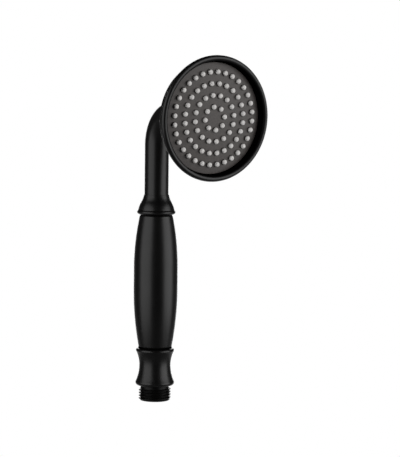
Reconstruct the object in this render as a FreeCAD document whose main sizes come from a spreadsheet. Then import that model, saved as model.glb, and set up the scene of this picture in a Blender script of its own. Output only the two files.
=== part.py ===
"""Handheld shower head: a traditional bathroom handset, built piece by piece.

The origin is the centre of the hose thread's end face. +Z runs up the grip, and +X is
the side that the spray face looks to. Every length is in millimetres, every angle in degrees.
"""

import FreeCAD, Part

import math
import os

import Sketcher

# Driving dimensions: name, value, what it measures.
SIZES = (
    # G 1/2 hose thread and the groove behind it
    ("thread_radius", 10.478, "major radius of the G 1/2 thread"),
    ("thread_pitch", 1.814, "14 threads to the inch"),
    ("thread_depth", 1.162, "crest to root"),
    ("thread_length", 7.7, "end face to the relief groove"),
    ("thread_lead_in", 1.1, "chamfer at the end face"),
    ("relief_radius", 9.25, "groove between thread and lower collar"),
    ("relief_width", 2.3, "groove between thread and lower collar"),
    # inlet connector
    ("mouth_radius", 8.0, "open bore that the hose end reaches into"),
    ("mouth_depth", 4.6, "open bore in front of the strainer"),
    ("inlet_bore_radius", 7.6, "bore for strainer and regulator"),
    ("connector_wall", 1.6, "wall of the spigot around the valve cartridge"),
    ("spigot_radius", 8.8, "part that screws up into the lower collar"),
    ("spigot_length", 16.0, "above the collar's foot"),
    ("web_thickness", 1.2, "wall between the two bores"),
    ("web_hole_radius", 5.8, "waterway through the web"),
    # fits
    ("fit_gap", 0.05, "radial gap of pieces that slide or screw together"),
    ("loose_gap", 0.15, "gap round pieces that are only dropped in"),
    ("touch_gap", 0.02, "what keeps a round seal clear of its groove"),
    # strainer and flow regulator
    ("strainer_height", 1.8, "its ring"),
    ("mesh_thickness", 0.5, "its perforated disc"),
    ("mesh_hole_radius", 0.5, "one hole of the strainer"),
    ("mesh_pitch", 1.8, "ring to ring of the strainer's holes"),
    ("rim_width", 1.0, "rim of the strainer and of the regulator"),
    ("regulator_height", 4.4, "its rim"),
    ("regulator_floor", 2.2, "its drilled disc"),
    ("hub_radius", 2.4, "post that carries the soft ring"),
    ("hub_height", 1.7, "post that carries the soft ring"),
    ("soft_ring_wire", 0.6, "section radius of the regulator's ring"),
    ("metering_radius", 0.65, "one metering hole"),
    ("metering_ring", 4.6, "circle of the metering holes"),
    # non-return valve
    ("cartridge_wall", 1.45, "wall of the valve body"),
    ("cartridge_top_gap", 0.1, "under the connector's washer"),
    ("seat_thickness", 1.4, "floor of the valve body"),
    ("seat_hole_radius", 3.6, "waterway through the floor"),
    ("guide_depth", 1.9, "thickness of the guide's ring"),
    ("guide_step", 0.4, "ledge that the guide sits on"),
    ("guide_ring_width", 1.1, "guide's outer ring"),
    ("bush_radius", 2.4, "guide's middle bush"),
    ("bush_drop", 1.5, "bush below the guide's ring"),
    ("leg_width", 1.2, "one leg of the guide"),
    ("stem_radius", 1.2, "poppet's stem"),
    ("stem_overrun", 0.6, "stem above the guide"),
    ("poppet_radius", 4.9, "poppet's head"),
    ("poppet_thickness", 1.6, "poppet's head"),
    ("poppet_boss_radius", 2.6, "carries the soft ring"),
    ("poppet_seal_width", 1.95, "soft ring under the head"),
    ("poppet_seal_thickness", 0.45, "soft ring under the head"),
    ("seat_gap", 0.05, "closed valve: soft ring to seat"),
    ("spring_radius", 3.1, "closing spring, middle of the wire"),
    ("spring_wire", 0.28, "section radius of the wire"),
    ("spring_turns", 5, "coils"),
    # round seals
    ("groove_width", 1.6, "every round seal's groove"),
    ("groove_depth", 1.05, "grooves in metal pieces"),
    ("cartridge_groove_depth", 0.8, "groove in the valve body"),
    # lower collar
    ("foot_edge_radius", 11.3, "under face of the foot"),
    ("foot_arc", 1.9, "rounding of the foot"),
    ("foot_top_radius", 12.45, "where the foot turns into the flare"),
    ("foot_top_height", 2.7, "where the foot turns into the flare"),
    ("waist_radius", 10.2, "narrowest place"),
    ("waist_height", 13.2, "above the foot"),
    ("bead_foot_radius", 12.12, "where the top bead starts"),
    ("bead_height", 2.35, "top bead"),
    ("bead_arc", 1.4, "rounding of the top bead"),
    ("collar_neck_radius", 11.05, "short neck above the bead"),
    ("collar_neck_height", 0.65, "short neck above the bead"),
    ("lower_collar_height", 25.1, "foot to top face"),
    ("washer_thickness", 1.5, "washer above the connector"),
    # grip
    ("gasket_thickness", 0.5, "washers at both ends of the grip"),
    ("grip_length", 85.7, "end to end"),
    ("grip_bottom_radius", 10.85, "lower end"),
    ("grip_top_radius", 10.75, "upper end"),
    ("belly_radius", 14.3, "thickest place"),
    ("belly_height", 36.8, "lower end to the belly"),
    ("belly_length", 14.5, "straight stretch of the belly"),
    ("grip_seat_length", 8.0, "solid end that fits the core tube"),
    ("grip_cavity_radius", 9.0, "hollow between the two ends"),
    # core tube
    ("core_radius", 6.3, "outside"),
    ("core_bore_radius", 4.3, "waterway"),
    ("core_foot_gap", 0.5, "above the washer"),
    ("core_reach", 9.2, "up into the neck tube"),
    ("lower_seal_drop", 3.4, "seal below the lower collar's top"),
    ("upper_seal_rise", 5.4, "seal above the neck tube's end"),
    # upper collar
    ("collar_edge_radius", 10.7, "under face"),
    ("lip_radius", 12.2, "lip, before its rounding"),
    ("lip_start", 0.9, "bevel below the lip"),
    ("lip_height", 1.8, "lip"),
    ("lip_arc", 1.5, "rounding of the lip"),
    ("cone_radius", 11.8, "cone just above the lip"),
    ("cone_start", 3.2, "cone just above the lip"),
    ("cone_middle_radius", 9.7, "where the cone turns hollow"),
    ("cone_middle_height", 8.6, "where the cone turns hollow"),
    ("cone_swell_arc", 17.0, "lower part of the cone"),
    ("cone_hollow_arc", 13.3, "upper part of the cone"),
    ("upper_collar_height", 13.2, "under face to top edge"),
    ("collar_top_edge", 0.25, "thickness of the feathered top edge"),
    # neck tube
    ("neck_radius", 7.8, "outside"),
    ("neck_wall", 1.45, "wall"),
    ("neck_rise", 45.5, "straight part up to the bend"),
    ("bend_radius", 21.3, "centre line of the bend"),
    ("face_tilt", 2.6, "spray face leans down by this angle"),
    ("neck_run", 19.6, "straight part after the bend"),
    ("neck_insert", 7.8, "length inside the head's boss"),
    # head shell, counted from the boss's back face
    ("boss_wall", 2.75, "boss around the neck tube"),
    ("boss_edge", 0.8, "chamfer of the boss"),
    ("boss_length", 3.3, "straight part of the boss"),
    ("boss_seal_height", 4.4, "seal's groove inside the boss"),
    ("cove_width", 2.0, "hollow curve between boss and dome"),
    ("cove_height", 3.0, "hollow curve between boss and dome"),
    ("cove_arc", 3.2, "hollow curve between boss and dome"),
    ("stop_thickness", 1.8, "shoulder that stops the neck tube"),
    ("dome_depth", 24.3, "boss's back face to the dome's edge"),
    ("dome_arc", 50.0, "outside of the dome"),
    ("shell_wall", 2.0, "wall of the dome"),
    ("chamber_foot_radius", 15.0, "flat floor of the water chamber"),
    ("shoulder_round", 0.9, "edge between dome and drum"),
    ("drum_taper", 1.0, "drum widens towards the rim"),
    ("drum_length", 7.2, "dome's edge to the back of the rim"),
    ("rim_step", 2.0, "rim stands out from the drum"),
    ("rim_slope", 0.2, "back of the rim"),
    ("rim_swell", 0.5, "rim widens from its back corner"),
    ("rim_height", 3.4, "drum's end to the crest of the rim"),
    ("rim_arc", 1.9, "rounding of the rim"),
    ("rim_shoulder_width", 1.25, "crest inwards to the bevel"),
    ("rim_shoulder_drop", 0.5, "crest down to the bevel"),
    ("rim_bevel_width", 0.5, "bevel inside the rim"),
    ("rim_bevel_height", 0.45, "bevel inside the rim"),
    ("lip_flare", 0.65, "recess wall leans outwards"),
    # spray face
    ("plate_radius", 35.0, "face plate"),
    ("plate_thickness", 3.0, "middle of the face plate"),
    ("plate_crown", 2.2, "middle of the domed face above its edge"),
    ("plate_edge", 0.3, "chamfer round the face plate"),
    ("skirt_step", 0.95, "flange of the face plate over its skirt"),
    ("skirt_wall", 1.4, "skirt that screws into the shell"),
    ("skirt_height", 4.1, "skirt that screws into the shell"),
    ("face_gasket_thickness", 0.6, "under the skirt"),
    ("gasket_land", 1.6, "shoulder that the gasket lies on"),
    ("mat_thickness", 1.2, "silicone mat"),
    ("spray_plate_thickness", 2.0, "plate behind the mat"),
    ("nozzle_margin", 3.5, "outermost nozzles to the mat's edge"),
    ("nozzle_radius", 1.6, "one nozzle"),
    ("nozzle_height", 2.0, "nozzle in front of the face plate"),
    ("nozzle_bore_radius", 0.35, "jet"),
    ("feed_hole_radius", 0.9, "holes of the spray plate"),
    ("nozzle_phase", 7.5, "angle of each ring's first nozzle"),
    # screws of the spray plate
    ("screw_phase", 13.125, "half way between two outer nozzles"),
    ("screw_radius", 1.1, "shank"),
    ("screw_head_radius", 2.1, "head"),
    ("screw_head_height", 1.3, "head"),
    ("screw_bite", 1.0, "into the face plate"),
    ("screw_boss_wall", 0.7, "face plate's boss around the screw"),
)

NOZZLE_RINGS = 4
FIRST_RING_NOZZLES = 8
SCREW_COUNT = 4
METERING_HOLES = 10
MESH_RINGS = 3
FIRST_MESH_RING = 6
GUIDE_LEGS = 3

START = 1
END = 2
CENTRE = 3
ORIGIN = -1
H_AXIS = -1
V_AXIS = -2
UP = FreeCAD.Vector(0, 0, 1)

doc = FreeCAD.newDocument("HandShower")
sheet = doc.addObject("Spreadsheet::Sheet", "Sizes")
pieces = []


class Size:
    """A number together with the sheet formula that works it out."""

    def __init__(self, value, formula):
        self.value = value
        self.formula = formula

    def __add__(self, other):
        other = as_size(other)
        return Size(self.value + other.value, f"({self.formula} + {other.formula})")

    def __sub__(self, other):
        other = as_size(other)
        return Size(self.value - other.value, f"({self.formula} - {other.formula})")

    def __mul__(self, other):
        other = as_size(other)
        return Size(self.value * other.value, f"({self.formula} * {other.formula})")

    def __truediv__(self, other):
        other = as_size(other)
        return Size(self.value / other.value, f"({self.formula} / {other.formula})")

    __radd__ = __add__
    __rmul__ = __mul__

    def __rsub__(self, other):
        return as_size(other) - self


def as_size(thing):
    """Let a plain number join a formula."""
    if isinstance(thing, Size):
        return thing
    return Size(float(thing), f"{thing}")


def sine(angle):
    """Sine of an angle in degrees."""
    return Size(math.sin(math.radians(angle.value)), f"sin({angle.formula} * 1 deg)")


def cosine(angle):
    """Cosine of an angle in degrees."""
    return Size(math.cos(math.radians(angle.value)), f"cos({angle.formula} * 1 deg)")


def arc_onto_vertical(height, width):
    """Radius of the arc that climbs by a height, moves by a width and is upright at one end."""
    return (height * height + width * width) / (width * 2)


class Dimensions:
    """Reads the sheet: every driving dimension is an attribute."""

    def __init__(self):
        for row, (name, value, meaning) in enumerate(SIZES, start=1):
            sheet.set(f"A{row}", name)
            sheet.set(f"B{row}", str(value))
            sheet.set(f"C{row}", meaning)
            sheet.setAlias(f"B{row}", name)
            setattr(self, name, Size(float(value), f"Sizes.{name}"))


class Bend:
    """Makes the edge from one corner to the next an arc, swelling or hollow."""

    def __init__(self, radius, hollow=False):
        self.radius = radius
        self.hollow = hollow


def origin_feature(body, role):
    """One of the body's own origin planes or axes."""
    for feature in body.Origin.OriginFeatures:
        if feature.Role == role:
            return feature
    raise LookupError(role)


def new_body(label):
    """An empty body that becomes one sub-part."""
    body = doc.addObject("PartDesign::Body", label)
    body.Label = label
    pieces.append(body)
    return body


def new_sketch(body, role, level=None):
    """A sketch on one of the body's origin planes, raised to a level if one is given."""
    sketch = body.newObject("Sketcher::SketchObject", f"{body.Label}_sketch")
    sketch.AttachmentSupport = (origin_feature(body, role), [""])
    sketch.MapMode = "FlatFace"
    if level is not None:
        sketch.setExpression("AttachmentOffset.Base.z", level.formula)
    return sketch


def tie(sketch, kind, size, *where):
    """Add one dimension to a sketch and bind it to the sheet."""
    number = sketch.addConstraint(Sketcher.Constraint(kind, *where, size.value))
    name = f"{kind}{number}"
    sketch.renameConstraint(number, name)
    sketch.setExpression(f"Constraints.{name}", size.formula)


def place_point(sketch, edge, point, across, along):
    """Fix a point by its two distances from the sketch's origin; a bare 0 puts it on the axis."""
    for kind, axis, size in (("DistanceX", V_AXIS, across), ("DistanceY", H_AXIS, along)):
        if isinstance(size, Size):
            tie(sketch, kind, size, ORIGIN, START, edge, point)
        else:
            sketch.addConstraint(Sketcher.Constraint("PointOnObject", edge, point, axis))


def vector(corner):
    """The place of an outline's corner."""
    across, along = corner[:2]
    return FreeCAD.Vector(as_size(across).value, as_size(along).value, 0)


def arc_between(start, end, bend):
    """The short arc of the bend's radius from one corner to the next."""
    chord = end - start
    side = -1 if bend.hollow else 1
    to_left = FreeCAD.Vector(-chord.y, chord.x, 0).normalize() * side
    reach = math.sqrt(bend.radius.value ** 2 - (chord.Length / 2) ** 2)
    centre = (start + end) / 2 + to_left * reach
    first, last = (end, start) if bend.hollow else (start, end)
    angles = [math.atan2(corner.y - centre.y, corner.x - centre.x) for corner in (first, last)]
    return Part.ArcOfCircle(Part.Circle(centre, UP, bend.radius.value), *angles)


def draw_outline(sketch, corners):
    """Draw a closed outline anticlockwise, every corner and radius bound to the sheet.

    A corner is (across, along), or (across, along, bend) where an arc leads to the next one.
    """
    ends = []
    for corner, following in zip(corners, corners[1:] + corners[:1]):
        bend = corner[2] if len(corner) > 2 else None
        if bend is None:
            edge = Part.LineSegment(vector(corner), vector(following))
        else:
            edge = arc_between(vector(corner), vector(following), bend)
        index = sketch.addGeometry(edge, False)
        ends.append((END, START) if bend and bend.hollow else (START, END))
        place_point(sketch, index, ends[index][0], corner[0], corner[1])
        if bend:
            tie(sketch, "Radius", bend.radius, index)
    for index, (_, leaving) in enumerate(ends):
        following = (index + 1) % len(ends)
        sketch.addConstraint(Sketcher.Constraint("Coincident", index, leaving, following, ends[following][0]))


def draw_circle(sketch, radius, across=0, along=0):
    """Draw a circle bound to the sheet."""
    middle = vector((across, along))
    index = sketch.addGeometry(Part.Circle(middle, UP, radius.value), False)
    tie(sketch, "Radius", radius, index)
    if isinstance(across, Size):
        place_point(sketch, index, CENTRE, across, along)
    else:
        sketch.addConstraint(Sketcher.Constraint("Coincident", index, CENTRE, ORIGIN, START))


def add_feature(body, kind, sketch, **sizes):
    """Add a sketch-based feature, its lengths bound to the sheet, and make it the body's tip."""
    feature = body.newObject(f"PartDesign::{kind}", f"{body.Label}_{kind.lower()}")
    feature.Profile = sketch
    for name, size in sizes.items():
        feature.setExpression(name, size.formula)
    body.Tip = feature
    return feature


def turn_outline(body, corners):
    """Turn an outline of (radius, height) corners once round the body's Z axis."""
    sketch = new_sketch(body, "XZ_Plane")
    draw_outline(sketch, corners)
    feature = add_feature(body, "Revolution", sketch)
    feature.ReferenceAxis = (sketch, ["V_Axis"])
    feature.Angle = 360
    return feature


def turned(label, corners):
    """A turned sub-part."""
    body = new_body(label)
    turn_outline(body, corners)
    return body


def washer(label, inner, outer, bottom, thickness):
    """A flat ring about the Z axis."""
    top = bottom + thickness
    return turned(label, [(inner, bottom), (outer, bottom), (outer, top), (inner, top)])


def ring_seal(label, inner, outer, level):
    """A round rubber ring that fills the space between two radii."""
    ring = doc.addObject("Part::Torus", label)
    ring.Label = label
    ring.setExpression("Radius1", ((inner + outer) / 2).formula)
    ring.setExpression("Radius2", ((outer - inner) / 2 - dim.touch_gap).formula)
    ring.setExpression("Placement.Base.z", level.formula)
    pieces.append(ring)
    return ring


def repeat_round(body, feature, count):
    """Repeat the last feature round the body's Z axis."""
    pattern = body.newObject("PartDesign::PolarPattern", f"{body.Label}_pattern")
    pattern.Originals = [feature]
    pattern.Axis = (origin_feature(body, "Z_Axis"), [""])
    pattern.Angle = 360
    pattern.Occurrences = count
    body.Tip = pattern


def circle_on_ring(body, radius, ring_radius, angle, level):
    """A sketch with the first circle of a ring of circles."""
    sketch = new_sketch(body, "XY_Plane", level)
    draw_circle(sketch, radius, ring_radius * cosine(angle), ring_radius * sine(angle))
    return sketch


def drill_ring(body, radius, ring_radius, angle, count, top, depth):
    """Drill a ring of holes, downwards from a level."""
    sketch = circle_on_ring(body, radius, ring_radius, angle, top)
    repeat_round(body, add_feature(body, "Pocket", sketch, Length=depth), count)


def raise_ring(body, radius, ring_radius, angle, count, bottom, height):
    """Raise a ring of round pegs, upwards from a level."""
    sketch = circle_on_ring(body, radius, ring_radius, angle, bottom)
    repeat_round(body, add_feature(body, "Pad", sketch, Length=height), count)


def nozzle_rings():
    """Radius and count of each ring of nozzles."""
    for ring in range(1, NOZZLE_RINGS + 1):
        yield nozzle_pitch * ring, FIRST_RING_NOZZLES * ring


def move_to_head(piece, height=0):
    """Put a piece that was built on the Z axis onto the head's axis."""
    from_bend = dim.neck_run - dim.neck_insert + height
    piece.Placement = FreeCAD.Placement(FreeCAD.Vector(), FreeCAD.Rotation(FreeCAD.Vector(0, 1, 0), turn.value))
    piece.setExpression("Placement.Rotation.Angle", turn.formula)
    piece.setExpression("Placement.Base.x", (bend_end_across + sine(turn) * from_bend).formula)
    piece.setExpression("Placement.Base.z", (bend_end_level + cosine(turn) * from_bend).formula)


dim = Dimensions()
doc.recompute()

# Heights up the grip's axis.
foot_level = dim.thread_length + dim.relief_width
connector_top = foot_level + dim.spigot_length
washer_top = connector_top + dim.washer_thickness
lower_collar_top = foot_level + dim.lower_collar_height
grip_bottom = lower_collar_top + dim.gasket_thickness
grip_top = grip_bottom + dim.grip_length
upper_collar_bottom = grip_top + dim.gasket_thickness
bend_level = upper_collar_bottom + dim.neck_rise
core_bottom = washer_top + dim.core_foot_gap
core_top = upper_collar_bottom + dim.core_reach
core_clear_radius = dim.core_radius + dim.fit_gap
core_groove_radius = dim.core_radius - dim.groove_depth
lower_seal_level = lower_collar_top - dim.lower_seal_drop
upper_seal_level = upper_collar_bottom + dim.upper_seal_rise

# Levels and radii inside the inlet connector.
regulator_bottom = dim.mouth_depth + dim.strainer_height
web_bottom = regulator_bottom + dim.regulator_height
web_top = web_bottom + dim.web_thickness
cartridge_bore_radius = dim.spigot_radius - dim.connector_wall
insert_radius = dim.inlet_bore_radius - dim.fit_gap
cartridge_radius = cartridge_bore_radius - dim.fit_gap
cartridge_top = connector_top - dim.cartridge_top_gap
chamber_radius = cartridge_radius - dim.cartridge_wall
seat_top = web_top + dim.seat_thickness
guide_seat_radius = chamber_radius + dim.guide_step
guide_bottom = cartridge_top - dim.guide_depth
valve_seal_level = (web_top + cartridge_top) / 2
poppet_seal_bottom = seat_top + dim.seat_gap
poppet_head_bottom = poppet_seal_bottom + dim.poppet_seal_thickness
poppet_head_top = poppet_head_bottom + dim.poppet_thickness

# The neck tube's bend and the head's axis.
neck_bore_radius = dim.neck_radius - dim.neck_wall
turn = dim.face_tilt + 90
bend_end_across = dim.bend_radius - dim.bend_radius * cosine(turn)
bend_end_level = bend_level + dim.bend_radius * sine(turn)

# Levels along the head's axis, counted from the boss's back face.
gasket_level = dim.dome_depth
skirt_bottom = gasket_level + dim.face_gasket_thickness
ledge_level = skirt_bottom + dim.skirt_height
plate_front = ledge_level + dim.plate_thickness
mat_bottom = ledge_level - dim.mat_thickness
spray_plate_bottom = mat_bottom - dim.spray_plate_thickness
plate_edge_level = plate_front - dim.plate_crown
rim_level = dim.dome_depth + dim.drum_length
rim_back = rim_level + dim.rim_slope
crest_level = rim_level + dim.rim_height
bevel_top = crest_level - dim.rim_shoulder_drop
bevel_foot = bevel_top - dim.rim_bevel_height

# Radii of the spray face and of the rim around it.
skirt_radius = dim.plate_radius - dim.skirt_step
skirt_inner_radius = skirt_radius - dim.skirt_wall
shell_bore_radius = skirt_radius + dim.fit_gap
mat_radius = skirt_inner_radius - dim.loose_gap
nozzle_pitch = (mat_radius - dim.nozzle_margin) / NOZZLE_RINGS
screw_ring = nozzle_pitch * (NOZZLE_RINGS - 0.5)
screw_boss_radius = dim.screw_radius + dim.fit_gap + dim.screw_boss_wall
recess_radius = dim.plate_radius + dim.loose_gap
plate_inner_edge = dim.plate_radius - dim.plate_edge
plate_arc = arc_onto_vertical(plate_inner_edge, dim.plate_crown)
bevel_foot_radius = recess_radius + dim.lip_flare
bevel_top_radius = bevel_foot_radius + dim.rim_bevel_width
crest_radius = bevel_top_radius + dim.rim_shoulder_width
rim_radius = crest_radius + dim.rim_arc
rim_back_radius = rim_radius - dim.rim_swell
drum_front_radius = rim_back_radius - dim.rim_step
drum_back_radius = drum_front_radius - dim.drum_taper
dome_edge_radius = drum_back_radius - dim.shoulder_round
boss_bore_radius = dim.neck_radius + dim.fit_gap
boss_groove_radius = boss_bore_radius + dim.groove_depth
boss_radius = boss_bore_radius + dim.boss_wall
boss_floor = dim.neck_insert + dim.stop_thickness
boss_seal_top = dim.boss_seal_height + dim.groove_width


def make_inlet_connector():
    """G 1/2 male thread, relief groove and the spigot that screws into the lower collar."""
    body = turned("inlet_connector", [
        (dim.mouth_radius, 0),
        (dim.thread_radius - dim.thread_lead_in, 0),
        (dim.thread_radius, dim.thread_lead_in),
        (dim.thread_radius, dim.thread_length),
        (dim.relief_radius, dim.thread_length),
        (dim.relief_radius, foot_level),
        (dim.spigot_radius, foot_level),
        (dim.spigot_radius, connector_top),
        (cartridge_bore_radius, connector_top),
        (cartridge_bore_radius, web_top),
        (dim.web_hole_radius, web_top),
        (dim.web_hole_radius, web_bottom),
        (dim.inlet_bore_radius, web_bottom),
        (dim.inlet_bore_radius, dim.mouth_depth),
        (dim.mouth_radius, dim.mouth_depth),
    ])
    root_half = dim.thread_pitch / 12
    crest_half = dim.thread_pitch * 5 / 12
    middle = dim.thread_pitch / 2
    root_radius = dim.thread_radius - dim.thread_depth
    crest_radius = dim.thread_radius + dim.fit_gap
    groove = new_sketch(body, "XZ_Plane")
    draw_outline(groove, [
        (root_radius, middle - root_half),
        (crest_radius, middle - crest_half),
        (crest_radius, middle + crest_half),
        (root_radius, middle + root_half),
    ])
    helix = add_feature(body, "SubtractiveHelix", groove, Pitch=dim.thread_pitch, Height=dim.thread_length)
    helix.ReferenceAxis = (groove, ["V_Axis"])
    return body


def make_strainer_screen():
    """Inlet screen: a ring with a perforated disc across it."""
    rim_inner = insert_radius - dim.rim_width
    mesh_bottom = dim.mouth_depth + (dim.strainer_height - dim.mesh_thickness) / 2
    mesh_top = mesh_bottom + dim.mesh_thickness
    body = turned("strainer_screen", [
        (0, mesh_bottom),
        (rim_inner, mesh_bottom),
        (rim_inner, dim.mouth_depth),
        (insert_radius, dim.mouth_depth),
        (insert_radius, regulator_bottom),
        (rim_inner, regulator_bottom),
        (rim_inner, mesh_top),
        (0, mesh_top),
    ])
    middle = new_sketch(body, "XY_Plane", mesh_top)
    draw_circle(middle, dim.mesh_hole_radius)
    add_feature(body, "Pocket", middle, Length=dim.mesh_thickness)
    for ring in range(1, MESH_RINGS + 1):
        drill_ring(body, dim.mesh_hole_radius, dim.mesh_pitch * ring, dim.nozzle_phase,
                   FIRST_MESH_RING * ring, mesh_top, dim.mesh_thickness)
    return body


def make_flow_regulator():
    """Limiter disc with metering holes and the hub that its soft ring sits on."""
    rim_inner = insert_radius - dim.rim_width
    floor = web_bottom - dim.regulator_floor
    hub_bottom = floor - dim.hub_height
    body = turned("flow_regulator", [
        (0, hub_bottom),
        (dim.hub_radius, hub_bottom),
        (dim.hub_radius, floor),
        (rim_inner, floor),
        (rim_inner, regulator_bottom),
        (insert_radius, regulator_bottom),
        (insert_radius, web_bottom),
        (0, web_bottom),
    ])
    drill_ring(body, dim.metering_radius, dim.metering_ring, dim.nozzle_phase, METERING_HOLES,
               web_bottom, dim.regulator_floor)
    ring_outer = dim.hub_radius + dim.soft_ring_wire * 2
    ring_seal("regulator_ring", dim.hub_radius, ring_outer, floor - dim.soft_ring_wire)
    return body


def make_valve_body():
    """Non-return valve cartridge, with its seat below and the guide's ledge above."""
    groove_radius = cartridge_radius - dim.cartridge_groove_depth
    groove_bottom = valve_seal_level - dim.groove_width / 2
    groove_top = valve_seal_level + dim.groove_width / 2
    body = turned("valve_body", [
        (dim.seat_hole_radius, web_top),
        (cartridge_radius, web_top),
        (cartridge_radius, groove_bottom),
        (groove_radius, groove_bottom),
        (groove_radius, groove_top),
        (cartridge_radius, groove_top),
        (cartridge_radius, cartridge_top),
        (guide_seat_radius, cartridge_top),
        (guide_seat_radius, guide_bottom),
        (chamber_radius, guide_bottom),
        (chamber_radius, seat_top),
        (dim.seat_hole_radius, seat_top),
    ])
    ring_seal("valve_seal", groove_radius, cartridge_bore_radius, valve_seal_level)
    return body


def make_valve_guide():
    """Ring, three legs and the bush that the poppet's stem slides in."""
    ring_outer = guide_seat_radius - dim.fit_gap
    ring_inner = ring_outer - dim.guide_ring_width
    bore = dim.stem_radius + dim.fit_gap
    bush_bottom = guide_bottom - dim.bush_drop
    body = turned("valve_guide", [
        (bore, bush_bottom),
        (dim.bush_radius, bush_bottom),
        (dim.bush_radius, cartridge_top),
        (bore, cartridge_top),
    ])
    leg = new_sketch(body, "XY_Plane", guide_bottom)
    half = dim.leg_width / 2
    bush_middle = (dim.bush_radius + bore) / 2
    ring_middle = (ring_outer + ring_inner) / 2
    draw_outline(leg, [
        (bush_middle, 0 - half),
        (ring_middle, 0 - half),
        (ring_middle, half),
        (bush_middle, half),
    ])
    repeat_round(body, add_feature(body, "Pad", leg, Length=dim.guide_depth), GUIDE_LEGS)
    turn_outline(body, [
        (ring_inner, guide_bottom),
        (ring_outer, guide_bottom),
        (ring_outer, cartridge_top),
        (ring_inner, cartridge_top),
    ])
    return body


def make_valve_poppet():
    """Mushroom that slides in the guide, and the soft ring under it."""
    stem_top = cartridge_top + dim.stem_overrun
    body = turned("valve_poppet", [
        (0, poppet_seal_bottom),
        (dim.poppet_boss_radius, poppet_seal_bottom),
        (dim.poppet_boss_radius, poppet_head_bottom),
        (dim.poppet_radius, poppet_head_bottom),
        (dim.poppet_radius, poppet_head_top),
        (dim.stem_radius, poppet_head_top),
        (dim.stem_radius, stem_top),
        (0, stem_top),
    ])
    seal_inner = dim.poppet_boss_radius + dim.touch_gap
    washer("poppet_seal", seal_inner, seal_inner + dim.poppet_seal_width,
           poppet_seal_bottom, dim.poppet_seal_thickness)
    return body


def make_valve_spring():
    """Closing spring between the poppet's head and the guide."""
    room = guide_bottom - poppet_head_top
    height = room - dim.spring_wire * 2 - dim.touch_gap * 2
    body = new_body("valve_spring")
    wire = new_sketch(body, "XZ_Plane")
    draw_circle(wire, dim.spring_wire, dim.spring_radius, poppet_head_top + dim.spring_wire + dim.touch_gap)
    coil = add_feature(body, "AdditiveHelix", wire, Pitch=height / dim.spring_turns, Height=height)
    coil.ReferenceAxis = (wire, ["V_Axis"])
    return body


def make_lower_collar():
    """Waisted collar: flared foot below, bead on top, bored for connector and core tube."""
    foot_top = foot_level + dim.foot_top_height
    waist_level = foot_level + dim.waist_height
    bead_top = lower_collar_top - dim.collar_neck_height
    bead_foot = bead_top - dim.bead_height
    lower_flare = arc_onto_vertical(waist_level - foot_top, dim.foot_top_radius - dim.waist_radius)
    upper_flare = arc_onto_vertical(bead_foot - waist_level, dim.bead_foot_radius - dim.waist_radius)
    spigot_bore_radius = dim.spigot_radius + dim.fit_gap
    return turned("lower_collar", [
        (spigot_bore_radius, foot_level),
        (dim.foot_edge_radius, foot_level, Bend(dim.foot_arc)),
        (dim.foot_top_radius, foot_top, Bend(lower_flare, hollow=True)),
        (dim.waist_radius, waist_level, Bend(upper_flare, hollow=True)),
        (dim.bead_foot_radius, bead_foot, Bend(dim.bead_arc)),
        (dim.collar_neck_radius, bead_top),
        (dim.collar_neck_radius, lower_collar_top),
        (core_clear_radius, lower_collar_top),
        (core_clear_radius, washer_top),
        (spigot_bore_radius, washer_top),
    ])


def make_grip_sleeve():
    """Barrel-shaped grip, hollow between two solid ends that fit the core tube."""
    belly_bottom = grip_bottom + dim.belly_height
    belly_top = belly_bottom + dim.belly_length
    lower_swell = arc_onto_vertical(dim.belly_height, dim.belly_radius - dim.grip_bottom_radius)
    upper_swell = arc_onto_vertical(grip_top - belly_top, dim.belly_radius - dim.grip_top_radius)
    cavity_bottom = grip_bottom + dim.grip_seat_length
    cavity_top = grip_top - dim.grip_seat_length
    return turned("grip_sleeve", [
        (core_clear_radius, grip_bottom),
        (dim.grip_bottom_radius, grip_bottom, Bend(lower_swell)),
        (dim.belly_radius, belly_bottom),
        (dim.belly_radius, belly_top, Bend(upper_swell)),
        (dim.grip_top_radius, grip_top),
        (core_clear_radius, grip_top),
        (core_clear_radius, cavity_top),
        (dim.grip_cavity_radius, cavity_top),
        (dim.grip_cavity_radius, cavity_bottom),
        (core_clear_radius, cavity_bottom),
    ])


def make_washers():
    """Washer above the connector and the rubber washers at both ends of the grip."""
    washer("connector_washer", dim.core_radius, dim.spigot_radius, connector_top, dim.washer_thickness)
    for label, bottom, end_radius in (
        ("grip_lower_gasket", lower_collar_top, dim.grip_bottom_radius),
        ("grip_upper_gasket", grip_top, dim.grip_top_radius),
    ):
        washer(label, core_clear_radius, end_radius - dim.gasket_thickness, bottom, dim.gasket_thickness)


def make_core_tube():
    """Water tube through the grip, with a groove for a round seal near each end."""
    corners = [(dim.core_bore_radius, core_bottom), (dim.core_radius, core_bottom)]
    for level in (lower_seal_level, upper_seal_level):
        groove_bottom = level - dim.groove_width / 2
        groove_top = level + dim.groove_width / 2
        corners += [
            (dim.core_radius, groove_bottom),
            (core_groove_radius, groove_bottom),
            (core_groove_radius, groove_top),
            (dim.core_radius, groove_top),
        ]
    corners += [(dim.core_radius, core_top), (dim.core_bore_radius, core_top)]
    body = turned("core_tube", corners)
    ring_seal("core_seal", core_groove_radius, core_clear_radius, lower_seal_level)
    ring_seal("neck_seal", core_groove_radius, neck_bore_radius, upper_seal_level)
    return body


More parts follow.
